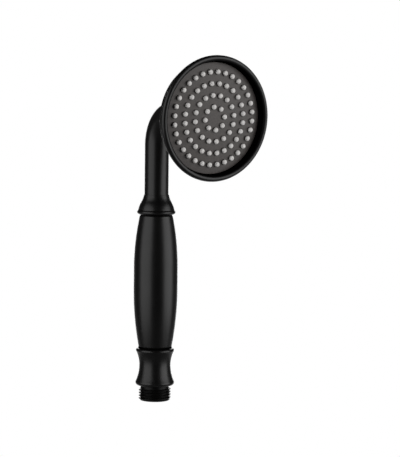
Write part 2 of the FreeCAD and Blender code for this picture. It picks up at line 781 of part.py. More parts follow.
def make_upper_collar():
    """Collar between grip and neck: bevel, rounded lip and a cone that feathers out on the tube."""
    bore_radius = dim.neck_radius + dim.fit_gap
    lip_bottom = upper_collar_bottom + dim.lip_start
    collar_top = upper_collar_bottom + dim.upper_collar_height
    return turned("upper_collar", [
        (bore_radius, upper_collar_bottom),
        (dim.collar_edge_radius, upper_collar_bottom),
        (dim.lip_radius, lip_bottom, Bend(dim.lip_arc)),
        (dim.lip_radius, lip_bottom + dim.lip_height),
        (dim.cone_radius, upper_collar_bottom + dim.cone_start, Bend(dim.cone_swell_arc)),
        (dim.cone_middle_radius, upper_collar_bottom + dim.cone_middle_height,
         Bend(dim.cone_hollow_arc, hollow=True)),
        (bore_radius + dim.collar_top_edge, collar_top),
        (bore_radius, collar_top),
    ])


def make_neck_tube():
    """Tube that rises out of the grip, bends forward and ends in the head's boss."""
    body = new_body("neck_tube")
    path = new_sketch(body, "XZ_Plane")
    bend_start = FreeCAD.Vector(0, bend_level.value, 0)
    bend_end = FreeCAD.Vector(bend_end_across.value, bend_end_level.value, 0)
    forward = FreeCAD.Vector(sine(turn).value, cosine(turn).value, 0)
    centre = FreeCAD.Vector(dim.bend_radius.value, bend_level.value, 0)
    end_across = bend_end_across + sine(turn) * dim.neck_run
    end_level = bend_end_level + cosine(turn) * dim.neck_run
    sweep = (math.radians(180 - turn.value), math.radians(180))
    rise = path.addGeometry(Part.LineSegment(vector((0, upper_collar_bottom)), bend_start), False)
    bend = path.addGeometry(Part.ArcOfCircle(Part.Circle(centre, UP, dim.bend_radius.value), *sweep), False)
    run = path.addGeometry(Part.LineSegment(bend_end, bend_end + forward * dim.neck_run.value), False)
    path.addConstraint(Sketcher.Constraint("Coincident", rise, END, bend, END))
    place_point(path, rise, START, 0, upper_collar_bottom)
    place_point(path, bend, CENTRE, dim.bend_radius, bend_level)
    place_point(path, rise, END, 0, bend_level)
    place_point(path, run, END, end_across, end_level)
    path.addConstraint(Sketcher.Constraint("Tangent", bend, START, run, START))
    section = new_sketch(body, "XY_Plane", upper_collar_bottom)
    draw_circle(section, dim.neck_radius)
    draw_circle(section, neck_bore_radius)
    pipe = add_feature(body, "AdditivePipe", section)
    pipe.Spine = (path, [])
    return body


def make_head_shell():
    """Boss, domed back, drum side and rounded rim, bored for the face assembly."""
    rounding = Bend(dim.rim_arc)
    body = turned("head_shell", [
        (boss_bore_radius, 0),
        (boss_radius - dim.boss_edge, 0),
        (boss_radius, dim.boss_edge),
        (boss_radius, dim.boss_length, Bend(dim.cove_arc, hollow=True)),
        (boss_radius + dim.cove_width, dim.boss_length + dim.cove_height, Bend(dim.dome_arc)),
        (dome_edge_radius, dim.dome_depth, Bend(dim.shoulder_round * 1.3)),
        (drum_back_radius, dim.dome_depth + dim.shoulder_round),
        (drum_front_radius, rim_level),
        (rim_back_radius, rim_back, rounding),
        (rim_radius, crest_level - dim.rim_arc, rounding),
        (crest_radius, crest_level, rounding),
        (bevel_top_radius, bevel_top),
        (bevel_foot_radius, bevel_foot),
        (recess_radius, ledge_level),
        (shell_bore_radius, ledge_level),
        (shell_bore_radius, gasket_level),
        (shell_bore_radius - dim.gasket_land, gasket_level, Bend(dim.dome_arc - dim.shell_wall, hollow=True)),
        (dim.chamber_foot_radius, boss_floor),
        (neck_bore_radius, boss_floor),
        (neck_bore_radius, dim.neck_insert),
        (boss_bore_radius, dim.neck_insert),
        (boss_bore_radius, boss_seal_top),
        (boss_groove_radius, boss_seal_top),
        (boss_groove_radius, dim.boss_seal_height),
        (boss_bore_radius, dim.boss_seal_height),
    ])
    move_to_head(body)
    seal_level = dim.boss_seal_height + dim.groove_width / 2
    seal = ring_seal("head_seal", dim.neck_radius, boss_groove_radius, seal_level)
    move_to_head(seal, seal_level)
    return body


def make_face_plate():
    """Domed and drilled plate with the skirt that screws into the shell and four screw bosses behind."""
    body = turned("face_plate", [
        (0, ledge_level),
        (skirt_inner_radius, ledge_level),
        (skirt_inner_radius, skirt_bottom),
        (skirt_radius, skirt_bottom),
        (skirt_radius, ledge_level),
        (dim.plate_radius, ledge_level),
        (dim.plate_radius, plate_edge_level - dim.plate_edge),
        (plate_inner_edge, plate_edge_level, Bend(plate_arc)),
        (0, plate_front),
    ])
    raise_ring(body, screw_boss_radius, screw_ring, dim.screw_phase, SCREW_COUNT, mat_bottom, dim.mat_thickness)
    bite = dim.mat_thickness + dim.screw_bite
    drill_ring(body, dim.screw_radius + dim.fit_gap, screw_ring, dim.screw_phase, SCREW_COUNT,
               mat_bottom + bite, bite)
    for radius, count in nozzle_rings():
        drill_ring(body, dim.nozzle_radius + dim.loose_gap, radius, dim.nozzle_phase, count,
                   plate_front, dim.plate_thickness)
    move_to_head(body)
    return body


def make_nozzle_mat():
    """One silicone mat: a disc with every nozzle standing on it, each bored for its jet."""
    body = turned("nozzle_mat", [
        (0, mat_bottom),
        (mat_radius, mat_bottom),
        (mat_radius, ledge_level),
        (0, ledge_level),
    ])
    drill_ring(body, screw_boss_radius + dim.loose_gap, screw_ring, dim.screw_phase, SCREW_COUNT,
               ledge_level, dim.mat_thickness)
    for radius, count in nozzle_rings():
        tip = plate_front - radius * radius / (plate_arc * 2) + dim.nozzle_height
        raise_ring(body, dim.nozzle_radius, radius, dim.nozzle_phase, count, ledge_level, tip - ledge_level)
        drill_ring(body, dim.nozzle_bore_radius, radius, dim.nozzle_phase, count, tip, tip - mat_bottom)
    move_to_head(body)
    return body


def make_spray_plate():
    """Plate behind the mat, with a feed hole for every nozzle."""
    body = turned("spray_plate", [
        (0, spray_plate_bottom),
        (mat_radius, spray_plate_bottom),
        (mat_radius, mat_bottom),
        (0, mat_bottom),
    ])
    drill_ring(body, dim.screw_radius + dim.fit_gap, screw_ring, dim.screw_phase, SCREW_COUNT,
               mat_bottom, dim.spray_plate_thickness)
    for radius, count in nozzle_rings():
        drill_ring(body, dim.feed_hole_radius, radius, dim.nozzle_phase, count,
                   mat_bottom, dim.spray_plate_thickness)
    move_to_head(body)
    return body


def make_plate_screws():
    """Four screws, side by side on one circle, that clamp spray plate and mat to the face plate."""
    screw = doc.addObject("Part::Fuse", "screw")
    head = doc.addObject("Part::Cylinder", "screw_head")
    shank = doc.addObject("Part::Cylinder", "screw_shank")
    screw.Base = head
    screw.Tool = shank
    head.setExpression("Radius", dim.screw_head_radius.formula)
    head.setExpression("Height", dim.screw_head_height.formula)
    shank.setExpression("Radius", dim.screw_radius.formula)
    length = dim.screw_head_height + dim.spray_plate_thickness + dim.mat_thickness + dim.screw_bite
    shank.setExpression("Height", (length - dim.fit_gap).formula)
    screws = doc.addObject("Part::Compound", "plate_screws")
    screws.Label = "plate_screws"
    links = []
    for number in range(SCREW_COUNT):
        link = doc.addObject("App::Link", f"screw_{number + 1}")
        link.LinkedObject = screw
        angle = dim.screw_phase + 360 * number / SCREW_COUNT
        link.setExpression("Placement.Base.x", (screw_ring * cosine(angle)).formula)
        link.setExpression("Placement.Base.y", (screw_ring * sine(angle)).formula)
        link.setExpression("Placement.Base.z", (spray_plate_bottom - dim.screw_head_height).formula)
        links.append(link)
    screws.Links = links
    pieces.append(screws)
    move_to_head(screws)
    return screws


def make_face_gasket():
    """Flat gasket under the face plate's skirt."""
    body = washer("face_gasket", shell_bore_radius - dim.gasket_land, skirt_radius,
                  gasket_level, dim.face_gasket_thickness)
    move_to_head(body)
    return body


def check_model():
    """Stop if a feature failed, a cut removed nothing or a piece isn't a sound solid."""
    for thing in doc.Objects:
        if "Invalid" in thing.State or "Error" in thing.State:
            raise RuntimeError(f"{thing.Label} failed: {thing.State}")
        if thing.TypeId in ("PartDesign::Pocket", "PartDesign::SubtractiveHelix"):
            if thing.Shape.Volume >= thing.BaseFeature.Shape.Volume:
                raise RuntimeError(f"{thing.Label} cuts nothing")
    for piece in pieces:
        if piece.Shape.isNull() or not piece.Shape.isValid() or piece.Shape.Volume <= 0:
            raise RuntimeError(f"{piece.Label} has no sound shape")
        solids = len(piece.Shape.Solids)
        print(f"{piece.Label:20s} {solids} solid(s) {piece.Shape.Volume:12.3f} mm3")


def write_pieces():
    """Write each sub-part to its own STEP file."""
    os.makedirs("parts", exist_ok=True)
    for piece in pieces:
        piece.Shape.exportStep(f"parts/{piece.Label}.step")


make_inlet_connector()
make_strainer_screen()
make_flow_regulator()
make_valve_body()
make_valve_guide()
make_valve_poppet()
make_valve_spring()
make_lower_collar()
make_washers()
make_grip_sleeve()
make_core_tube()
make_upper_collar()
make_neck_tube()
make_head_shell()
make_face_gasket()
make_face_plate()
make_nozzle_mat()
make_spray_plate()
make_plate_screws()
doc.recompute()
check_model()
write_pieces()
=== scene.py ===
"""Handheld shower head: round spray face, bent neck, barrel grip, turned collars, hose thread.

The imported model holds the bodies, the sealed inner pieces and the place of every part. The pieces
that show are surfaces worked out here with numpy: an outline turned about an axis, a section
carried along a path, or a function of angle and height. Sizes are in millimetres, as on a
drawing, and become metres when a surface is made an object. Angles in fields are in degrees.
"""

import logging
import math
from dataclasses import dataclass, field
from enum import Enum
from functools import cache
from typing import Any, Iterator, Sequence

import bpy
import numpy as np
from mathutils import Euler, Matrix, Vector
from mathutils.geometry import delaunay_2d_cdt


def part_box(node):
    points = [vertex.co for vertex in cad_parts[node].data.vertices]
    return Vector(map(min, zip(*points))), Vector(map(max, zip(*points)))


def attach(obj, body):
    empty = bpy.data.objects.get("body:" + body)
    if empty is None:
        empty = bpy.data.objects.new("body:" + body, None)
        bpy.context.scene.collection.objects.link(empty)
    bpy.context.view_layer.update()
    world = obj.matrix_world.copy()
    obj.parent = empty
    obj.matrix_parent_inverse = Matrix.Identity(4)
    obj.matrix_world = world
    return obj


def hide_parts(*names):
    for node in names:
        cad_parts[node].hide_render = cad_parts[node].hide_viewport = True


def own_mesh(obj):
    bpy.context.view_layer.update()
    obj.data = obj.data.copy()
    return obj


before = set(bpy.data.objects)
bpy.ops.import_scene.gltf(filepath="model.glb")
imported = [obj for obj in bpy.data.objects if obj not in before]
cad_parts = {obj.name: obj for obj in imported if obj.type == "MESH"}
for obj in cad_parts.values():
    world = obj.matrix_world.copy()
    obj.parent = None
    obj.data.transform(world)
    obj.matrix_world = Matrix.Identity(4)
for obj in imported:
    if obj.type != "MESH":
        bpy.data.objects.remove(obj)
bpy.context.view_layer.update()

Array = np.ndarray
Triple = tuple[float, float, float]
Colour = Triple
Tones = tuple[float, float]

MM = 0.001
TAU = 2.0 * math.pi
HANDSET = "handset"  # The body that every piece made here rides on.

logging.basicConfig(level=logging.INFO, format="%(message)s")
log = logging.getLogger("handset")


class Slot(Enum):
    """The record's material slots."""

    METAL = "black_metal"
    GRIP = "black_grip"
    FACE = "black_face"
    SILICONE = "grey_silicone"
    PLASTIC = "white_plastic"
    BRASS = "brass"
    STEEL = "steel"
    RUBBER = "black_rubber"


# ---------------------------------------------------------------------------------------------
# Outlines
# ---------------------------------------------------------------------------------------------

WALK = 0.02  # Distance between the samples on which an outline is rounded off.
TAIL = 6.0  # Roundings by which an open outline runs on past its ends while it is blurred.
EASE = 0.3  # Distance over which rows that stand close thin out again.
EASE_SHARE = 0.6  # How much of their closeness is passed on over that distance.
SEAM = 2.5  # A last row nearer than this many samples to the first is left out.


@dataclass(frozen=True)
class Corner:
    """A corner of an outline, and how the edge from it to the next corner bends.

    The bend is 0 for a straight edge, an arc's radius where it swells outwards, and minus the
    radius where it is hollow.
    """

    radius: float
    height: float
    bend: float = 0.0

    @property
    def place(self) -> complex:
        """The corner as radius + i height."""
        return complex(self.radius, self.height)


def channel(start: float, end: float, low: float, high: float) -> tuple[Corner, ...]:
    """Four corners: from one radius to another at a low height, and back at a high one."""
    return Corner(start, low), Corner(end, low), Corner(end, high), Corner(start, high)


def edge_samples(start: complex, end: complex, bend: float, step: float) -> Array:
    """Sample one edge of an outline, without its last point.

    A straight edge is start + t (end - start). A bent one is centre + radius e^(i angle), where
    the centre lies the arc's radius from both ends.

    Args:
        start: First point, as radius + i height.
        end: Last point.
        bend: Signed radius of the arc, or 0.
        step: Distance between samples.

    Returns:
        The samples as complex numbers.
    """
    chord = end - start
    share = np.linspace(0.0, 1.0, max(3, int(abs(chord) / step) + 2))[:-1]
    if bend == 0.0:
        return start + share * chord
    reach = math.sqrt(bend * bend - abs(chord) ** 2 / 4.0)
    centre = (start + end) / 2.0 + 1j * chord / abs(chord) * math.copysign(reach, bend)
    first = start - centre
    sweep = np.angle((end - centre) / first)
    return centre + first * np.exp(1j * sweep * share)


def blurred(values: Array, spread: float, step: float) -> Array:
    """Blur a closed row of samples with a Gaussian, by damping its high frequencies.

    Args:
        values: Evenly spaced samples of a closed curve.
        spread: Standard deviation of the Gaussian.
        step: Distance between samples.

    Returns:
        The blurred samples.
    """
    waves = np.fft.fftfreq(len(values), step)
    return np.fft.ifft(np.fft.fft(values) * np.exp(-2.0 * (math.pi * spread * waves) ** 2))


@dataclass(frozen=True)
class Outline:
    """A section through a turned piece, walked with the material on the left.

    The rounding blurs every corner a little, as polishing and a coat of paint do. Rows of the
    surface lie at most the longest step apart, and at most the turn's angle in a bend. Below a
    given height they can be kept fine.
    """

    corners: tuple[Corner, ...]
    closed: bool = True
    rounding: float = 0.12
    longest: float = 2.0
    turn: float = 7.0
    fine_below: float = -1.0
    fine_step: float = 0.1

    def samples(self, step: float) -> Array:
        """Walk the outline in even steps.

        Args:
            step: Distance between samples.

        Returns:
            The samples, as radius + i height.
        """
        ends = self.corners[1:] + (self.corners[:1] if self.closed else ())
        edges = [
            edge_samples(start.place, end.place, start.bend, step)
            for start, end in zip(self.corners, ends)
        ]
        raw = np.concatenate([*edges, [ends[-1].place]])
        travelled = np.concatenate([[0.0], np.cumsum(np.abs(np.diff(raw)))])
        even = np.linspace(0.0, travelled[-1], int(travelled[-1] / step))
        if self.closed:
            even = even[:-1]
        return np.interp(even, travelled, raw.real) + 1j * np.interp(even, travelled, raw.imag)

    def rows(self) -> tuple[Array, Array]:
        """Round the outline off and thin it to the rows of a surface.

        The rows stand close where the outline turns and further apart where it runs straight: they
        divide the integral of 1 / longest + curvature / turn evenly, with that sum eased off past
        the ends of a bend.

        Returns:
            The rows and their outward normals, as complex numbers.
        """
        walk = self.samples(WALK)
        pad = 0 if self.closed else int(TAIL * self.rounding / WALK) + 2
        if pad:
            ahead = walk[-1] + (walk[-1] - walk[-2]) * np.arange(1, pad + 1)
            behind = walk[0] - (walk[1] - walk[0]) * np.arange(pad, 0, -1)
            walk = np.concatenate([behind, walk, ahead])
        smooth = blurred(walk, self.rounding, WALK)
        along = np.roll(smooth, -1) - np.roll(smooth, 1)
        if pad:
            smooth, along = smooth[pad:-pad], along[pad:-pad]
        along = along / np.abs(along)
        bend = np.abs(np.angle(np.roll(along, -1) / along)) / WALK
        if pad:
            bend[-1] = bend[-2]
        crowd = 1.0 / self.longest + bend / math.radians(self.turn)
        crowd = np.maximum(crowd, EASE_SHARE * blurred(crowd, EASE, WALK).real)
        fine = np.maximum(crowd, 1.0 / self.fine_step)
        crowd = np.where(smooth.imag < self.fine_below, fine, crowd)
        progress = np.concatenate([[0.0], np.cumsum((crowd[1:] + crowd[:-1]) / 2.0 * WALK)])
        stops = np.linspace(0.0, progress[-1], int(progress[-1]) + 2)
        where = np.round(np.interp(stops, progress, np.arange(len(smooth)))).astype(int)
        if self.closed and abs(smooth[where[-1]] - smooth[where[0]]) < SEAM * WALK:
            where = where[:-1]
        return smooth[where], -1j * along[where]


# ---------------------------------------------------------------------------------------------
# Surfaces
# ---------------------------------------------------------------------------------------------

DECIMALS = 4  # Points that agree to this many decimals of a millimetre become one.
NEARLY_UP = (0.013, 0.021, 1.0)  # Z, tipped so that no path runs along it.
CAP = (0.5, 0.87, 1.0)  # Heights of the rows of a rounded end, as shares of its radius.
SHORTEST = 1e-12  # Vectors shorter than this are left near zero, not divided by their length.
CLOSEST = 1e-6  # Points of a flat sheet nearer to each other than this are the same point.


def grid_faces(rows: int, columns: int, closed_rows: bool) -> Array:
    """Number the four-sided faces of a grid of points whose rows are closed.

    Args:
        rows: Rows of points.
        columns: Points in a row.
        closed_rows: Whether the last row joins the first.

    Returns:
        Face corners, four to a face.
    """
    index = np.arange(rows * columns).reshape(rows, columns)
    if closed_rows:
        index = np.vstack([index, index[:1]])
    index = np.hstack([index, index[:, :1]])
    corners = [index[:-1, :-1], index[:-1, 1:], index[1:, 1:], index[1:, :-1]]
    return np.stack(corners, -1).reshape(-1, 4)


def unit(vectors: Array) -> Array:
    """Scale vectors to length 1."""
    return vectors / np.maximum(np.linalg.norm(vectors, axis=-1, keepdims=True), SHORTEST)


def compass(count: int, start: float = 0.0) -> Array:
    """Unit vectors at even angles round a circle: (cos angle, sin angle)."""
    angle = start + TAU * np.arange(count) / count
    return np.stack([np.cos(angle), np.sin(angle)], -1)


def add_object(name: str, data: bpy.types.ID) -> bpy.types.Object:
    """Put a new object in the scene.

    Args:
        name: Its name.
        data: Its mesh, lamp or camera.

    Returns:
        The object, at the origin.
    """
    item = bpy.data.objects.new(name, data)
    bpy.context.scene.collection.objects.link(item)
    return item


@dataclass
class Shape:
    """A surface: points, outward normals, and faces of four corners.

    A triangle repeats its last corner.
    """

    points: Array
    normals: Array
    faces: Array

    @staticmethod
    def from_grid(points: Array, normals: Array, closed_rows: bool = True) -> "Shape":
        """Make a surface of a grid of points, rows by columns by 3, with each row closed."""
        faces = grid_faces(*points.shape[:2], closed_rows)
        return Shape(points.reshape(-1, 3), normals.reshape(-1, 3), faces)

    @staticmethod
    def joined(shapes: Sequence["Shape"]) -> "Shape":
        """Put several surfaces into one, with the points that they share made single.

        Args:
            shapes: The surfaces.

        Returns:
            One surface, whose shared points have the mean of their normals.
        """
        starts = np.cumsum([0] + [len(shape.points) for shape in shapes[:-1]])
        points = np.concatenate([shape.points for shape in shapes])
        normals = np.concatenate([shape.normals for shape in shapes])
        faces = np.concatenate([shape.faces + start for shape, start in zip(shapes, starts)])
        _, first, group = np.unique(
            np.round(points, DECIMALS), axis=0, return_index=True, return_inverse=True,
        )
        group = group.ravel()
        mean = np.zeros((len(first), 3))
        np.add.at(mean, group, normals)
        # A face that lost a corner becomes a triangle, and one that lost two is dropped.
        a, b, c, d = group[faces].T
        third = np.where((a == b) | (b == c), d, c)
        faces = np.stack([a, np.where(a == b, c, b), third, d], -1)
        faces[d == a] = np.stack([a, b, c, c], -1)[d == a]
        distinct = np.all(faces[:, :3] != faces[:, [1, 2, 0]], axis=1)
        return Shape(points[first], unit(mean), faces[distinct])

    def crowned(self, low: float, high: float, arc: float, reach: Array | None = None) -> "Shape":
        """Bow the surface's top down towards its edge, and stretch what lies under it to follow.

        At a distance r from the axis the top sinks by arc - sqrt(arc^2 - r^2). The share of that
        which a point takes grows evenly from none at the low level to all at the high one.

        Args:
            low: Level that stays in place.
            high: Level that follows the dome.
            arc: Radius of the dome.
            reach: Distances from the axis that stand in for the points' own.

        Returns:
            The bowed surface.
        """
        share = np.clip((self.points[:, 2] - low) / (high - low), 0.0, 1.0)
        own = np.hypot(self.points[:, 0], self.points[:, 1])
        sink = share * (arc - np.sqrt(arc**2 - (own if reach is None else reach) ** 2))
        points = self.points - sink[:, None] * [0.0, 0.0, 1.0]
        lean = np.zeros_like(self.points) if reach is not None else self.points * [1.0, 1.0, 0.0]
        normals = unit(self.normals + (share * self.normals[:, 2] / arc)[:, None] * lean)
        return Shape(points, normals, self.faces)

    def placed(self, axes: Array, origin: Array) -> "Shape":
        """Turn the surface so that its own axes are the given rows, and move it.

        Args:
            axes: The directions of its X, Y and Z, one to a row.
            origin: The place of its origin.

        Returns:
            The surface in its new place.
        """
        return Shape(self.points @ axes + origin, self.normals @ axes, self.faces)

    def outward(self) -> "Shape":
        """Turn round each face that looks against its corners' normals.

        Returns:
            The surface with every face outwards.
        """
        corner = self.points[self.faces]
        facing = np.cross(corner[:, 2] - corner[:, 0], corner[:, 3] - corner[:, 1])
        flat = self.faces[:, 2] == self.faces[:, 3]
        facing[flat] = np.cross(corner[:, 1] - corner[:, 0], corner[:, 2] - corner[:, 0])[flat]
        against = np.sum(facing * self.normals[self.faces].sum(1), axis=1) < 0.0
        order = np.where(flat[:, None], [1, 0, 2, 2], [3, 2, 1, 0])
        turned = np.take_along_axis(self.faces, order, axis=1)
        return Shape(self.points, self.normals, np.where(against[:, None], turned, self.faces))

    def as_object(self, name: str) -> bpy.types.Object:
        """Make the surface a smooth-shaded object in the scene.

        Args:
            name: The object's name.

        Returns:
            The new object, at the origin, with its place in its mesh.
        """
        shape = self.outward()
        triangle = shape.faces[:, 2] == shape.faces[:, 3]
        used = np.ones(shape.faces.shape, bool)
        used[triangle, 3] = False
        corners = shape.faces[used]
        sizes = used.sum(1)
        mesh = bpy.data.meshes.new(name)
        mesh.vertices.add(len(shape.points))
        mesh.vertices.foreach_set("co", (shape.points * MM).astype(np.float32).ravel())
        mesh.loops.add(len(corners))
        mesh.loops.foreach_set("vertex_index", corners.astype(np.int32))
        mesh.polygons.add(len(sizes))
        mesh.polygons.foreach_set("loop_start", (np.cumsum(sizes) - sizes).astype(np.int32))
        mesh.update(calc_edges=True)
        mesh.validate()
        mesh.shade_smooth()
        mesh.normals_split_custom_set_from_vertices(unit(shape.normals).tolist())
        return add_object(name, mesh)


def turned(outline: Outline, around: int = 192) -> Shape:
    """Turn an outline about the Z axis: (radius cos angle, radius sin angle, height).

    Args:
        outline: The section.
        around: Points in each turn.

    Returns:
        The surface, open at its first and last row if the outline is open.
    """
    rows, normals = outline.rows()
    angle = TAU * np.arange(around) / around
    spin = np.exp(1j * angle)[None, :]

    def swept(section: Array) -> Array:
        """Carry radius and height round the axis.

        Args:
            section: Complex numbers, radius + i height.

        Returns:
            Vectors, rows by columns by 3.
        """
        flat = section.real[:, None] * spin
        height = np.broadcast_to(section.imag[:, None], flat.shape)
        return np.stack([flat.real, flat.imag, height], -1)

    return Shape.from_grid(swept(rows), swept(normals), closed_rows=outline.closed)


def tube_along(path: Array, radius: float, around: int) -> Shape:
    """Carry a circle along a path of points, and close each end with a rounded cap.

    The circle's plane is square to the path, and its first radius is square to Z as well, so the
    tube doesn't twist. A cap's row at a height h has the radius sqrt(1 - h^2) of the circle's.

    Args:
        path: Points, n by 3.
        radius: The circle's radius.
        around: Points round the circle.

    Returns:
        The tube.
    """
    along = unit(np.gradient(path, axis=0))
    side = unit(np.cross(along, NEARLY_UP))
    up = np.cross(side, along)
    circle = compass(around)
    ring = circle[:, :1] * side[:, None] + circle[:, 1:] * up[:, None]
    share = np.array(CAP)[:, None, None]

    def cap(end: int, outward: float) -> Array:
        """Rows of the cap past one end of the path, its tip last."""
        bulge = radius * np.sqrt(1.0 - share**2)
        return path[end] + outward * along[end] * (radius * share) + bulge * ring[end]

    first, last = cap(0, -1.0)[::-1], cap(-1, 1.0)
    points = np.concatenate([first, path[:, None] + radius * ring, last])
    normals = np.concatenate([unit(first - path[0]), ring, unit(last - path[-1])])
    return Shape.joined([Shape.from_grid(points, normals, closed_rows=False)])


def circles_about(centres: Array, radius: float, count: int) -> Array:
    """Points on circles about several centres: centres by count by 2."""
    return centres[:, None, :] + radius * compass(count)


@dataclass(frozen=True)
class Holes:
    """Round holes of one size in a flat sheet, and the open outline that lines each of them."""

    centres: Array
    radius: float
    around: int = 24

    def lined(self, lining: Outline) -> Shape:
        """Turn a lining about every hole's own axis at once.

        Args:
            lining: An open outline, its radius counted from the hole's axis.

        Returns:
            One surface with all the linings.
        """
        one = turned(lining, self.around)
        count = len(self.centres)
        shift = np.concatenate([self.centres, np.zeros((count, 1))], axis=1)
        points = (one.points[None] + shift[:, None]).reshape(-1, 3)
        normals = np.broadcast_to(one.normals[None], (count, *one.normals.shape)).reshape(-1, 3)
        offsets = np.arange(count)[:, None, None] * len(one.points)
        return Shape(points, normals, (one.faces[None] + offsets).reshape(-1, 4))


def perforated_disc(
    radius: float, around: int, level: float, facing: float, *groups: Holes,
) -> Shape:
    """Fill a flat disc with triangles that leave its holes open.

    The circles are the fixed edges of a Delaunay mesh. A triangle with all three corners on one
    hole's circle lies in that hole, and is dropped.

    Args:
        radius: The disc's radius.
        around: Points round its edge.
        level: Its height.
        facing: 1 for a sheet that looks up, -1 for one that looks down.
        *groups: The holes.

    Returns:
        The sheet.
    """
    circles = [circles_about(np.zeros((1, 2)), radius, around)]
    circles += [circles_about(group.centres, group.radius, group.around) for group in groups]
    points = np.concatenate([circle.reshape(-1, 2) for circle in circles])
    owner, edges, start, number = [], [], 0, 0
    for circle in circles:
        count, size = circle.shape[:2]
        index = start + np.arange(count * size).reshape(count, size)
        edges.append(np.stack([index, np.roll(index, -1, axis=1)], -1).reshape(-1, 2))
        owner.append(np.repeat(np.arange(count) + number, size))
        start += count * size
        number += count
    owner = np.concatenate(owner)
    places = [Vector(point) for point in points.tolist()]
    fixed = np.concatenate(edges).tolist()
    _, _, faces, *_ = delaunay_2d_cdt(places, fixed, [], 0, CLOSEST)
    triangles = np.array(faces)
    held = owner[triangles]
    in_hole = (held == held[:, :1]).all(1) & (held[:, 0] > 0)
    triangles = triangles[~in_hole]
    flat = np.concatenate([points, np.full((len(points), 1), level)], axis=1)
    normals = np.broadcast_to([0.0, 0.0, facing], flat.shape)
    return Shape(flat, normals, np.concatenate([triangles, triangles[:, 2:]], axis=1))


# ---------------------------------------------------------------------------------------------
# Materials
# ---------------------------------------------------------------------------------------------

EVEN: Triple = (1.0, 1.0, 1.0)
WHITE = (1.0, 1.0, 1.0, 1.0)
COLOUR_INPUTS = slice(6, 8)  # The two inputs of a Mix node that take colours.
COLOUR_OUTPUT = 2  # Its output that gives one.


class Term:
    """A socket of a material that takes part in Python arithmetic."""

    def __init__(self, graph: "Graph", socket: bpy.types.NodeSocket) -> None:
        """Wrap a socket of a graph."""
        self.graph = graph
        self.socket = socket

    def __add__(self, other: "Term | float") -> "Term":
        """Add."""
        return self.graph.calculate("ADD", self, other)

    def __sub__(self, other: "Term | float") -> "Term":
        """Subtract."""
        return self.graph.calculate("SUBTRACT", self, other)

    def __rsub__(self, other: float) -> "Term":
        """Subtract from a number."""
        return self.graph.calculate("SUBTRACT", other, self)

    def __mul__(self, other: "Term | float") -> "Term":
        """Multiply."""
        return self.graph.calculate("MULTIPLY", self, other)

    def __pow__(self, other: float) -> "Term":
        """Raise to a power."""
        return self.graph.calculate("POWER", self, other)

    __radd__ = __add__
    __rmul__ = __mul__

    def about(self, middle: float, swing: float) -> "Term":
        """Let a share of 0 to 1 swing a value about its middle."""
        return self * swing + (middle - swing / 2.0)


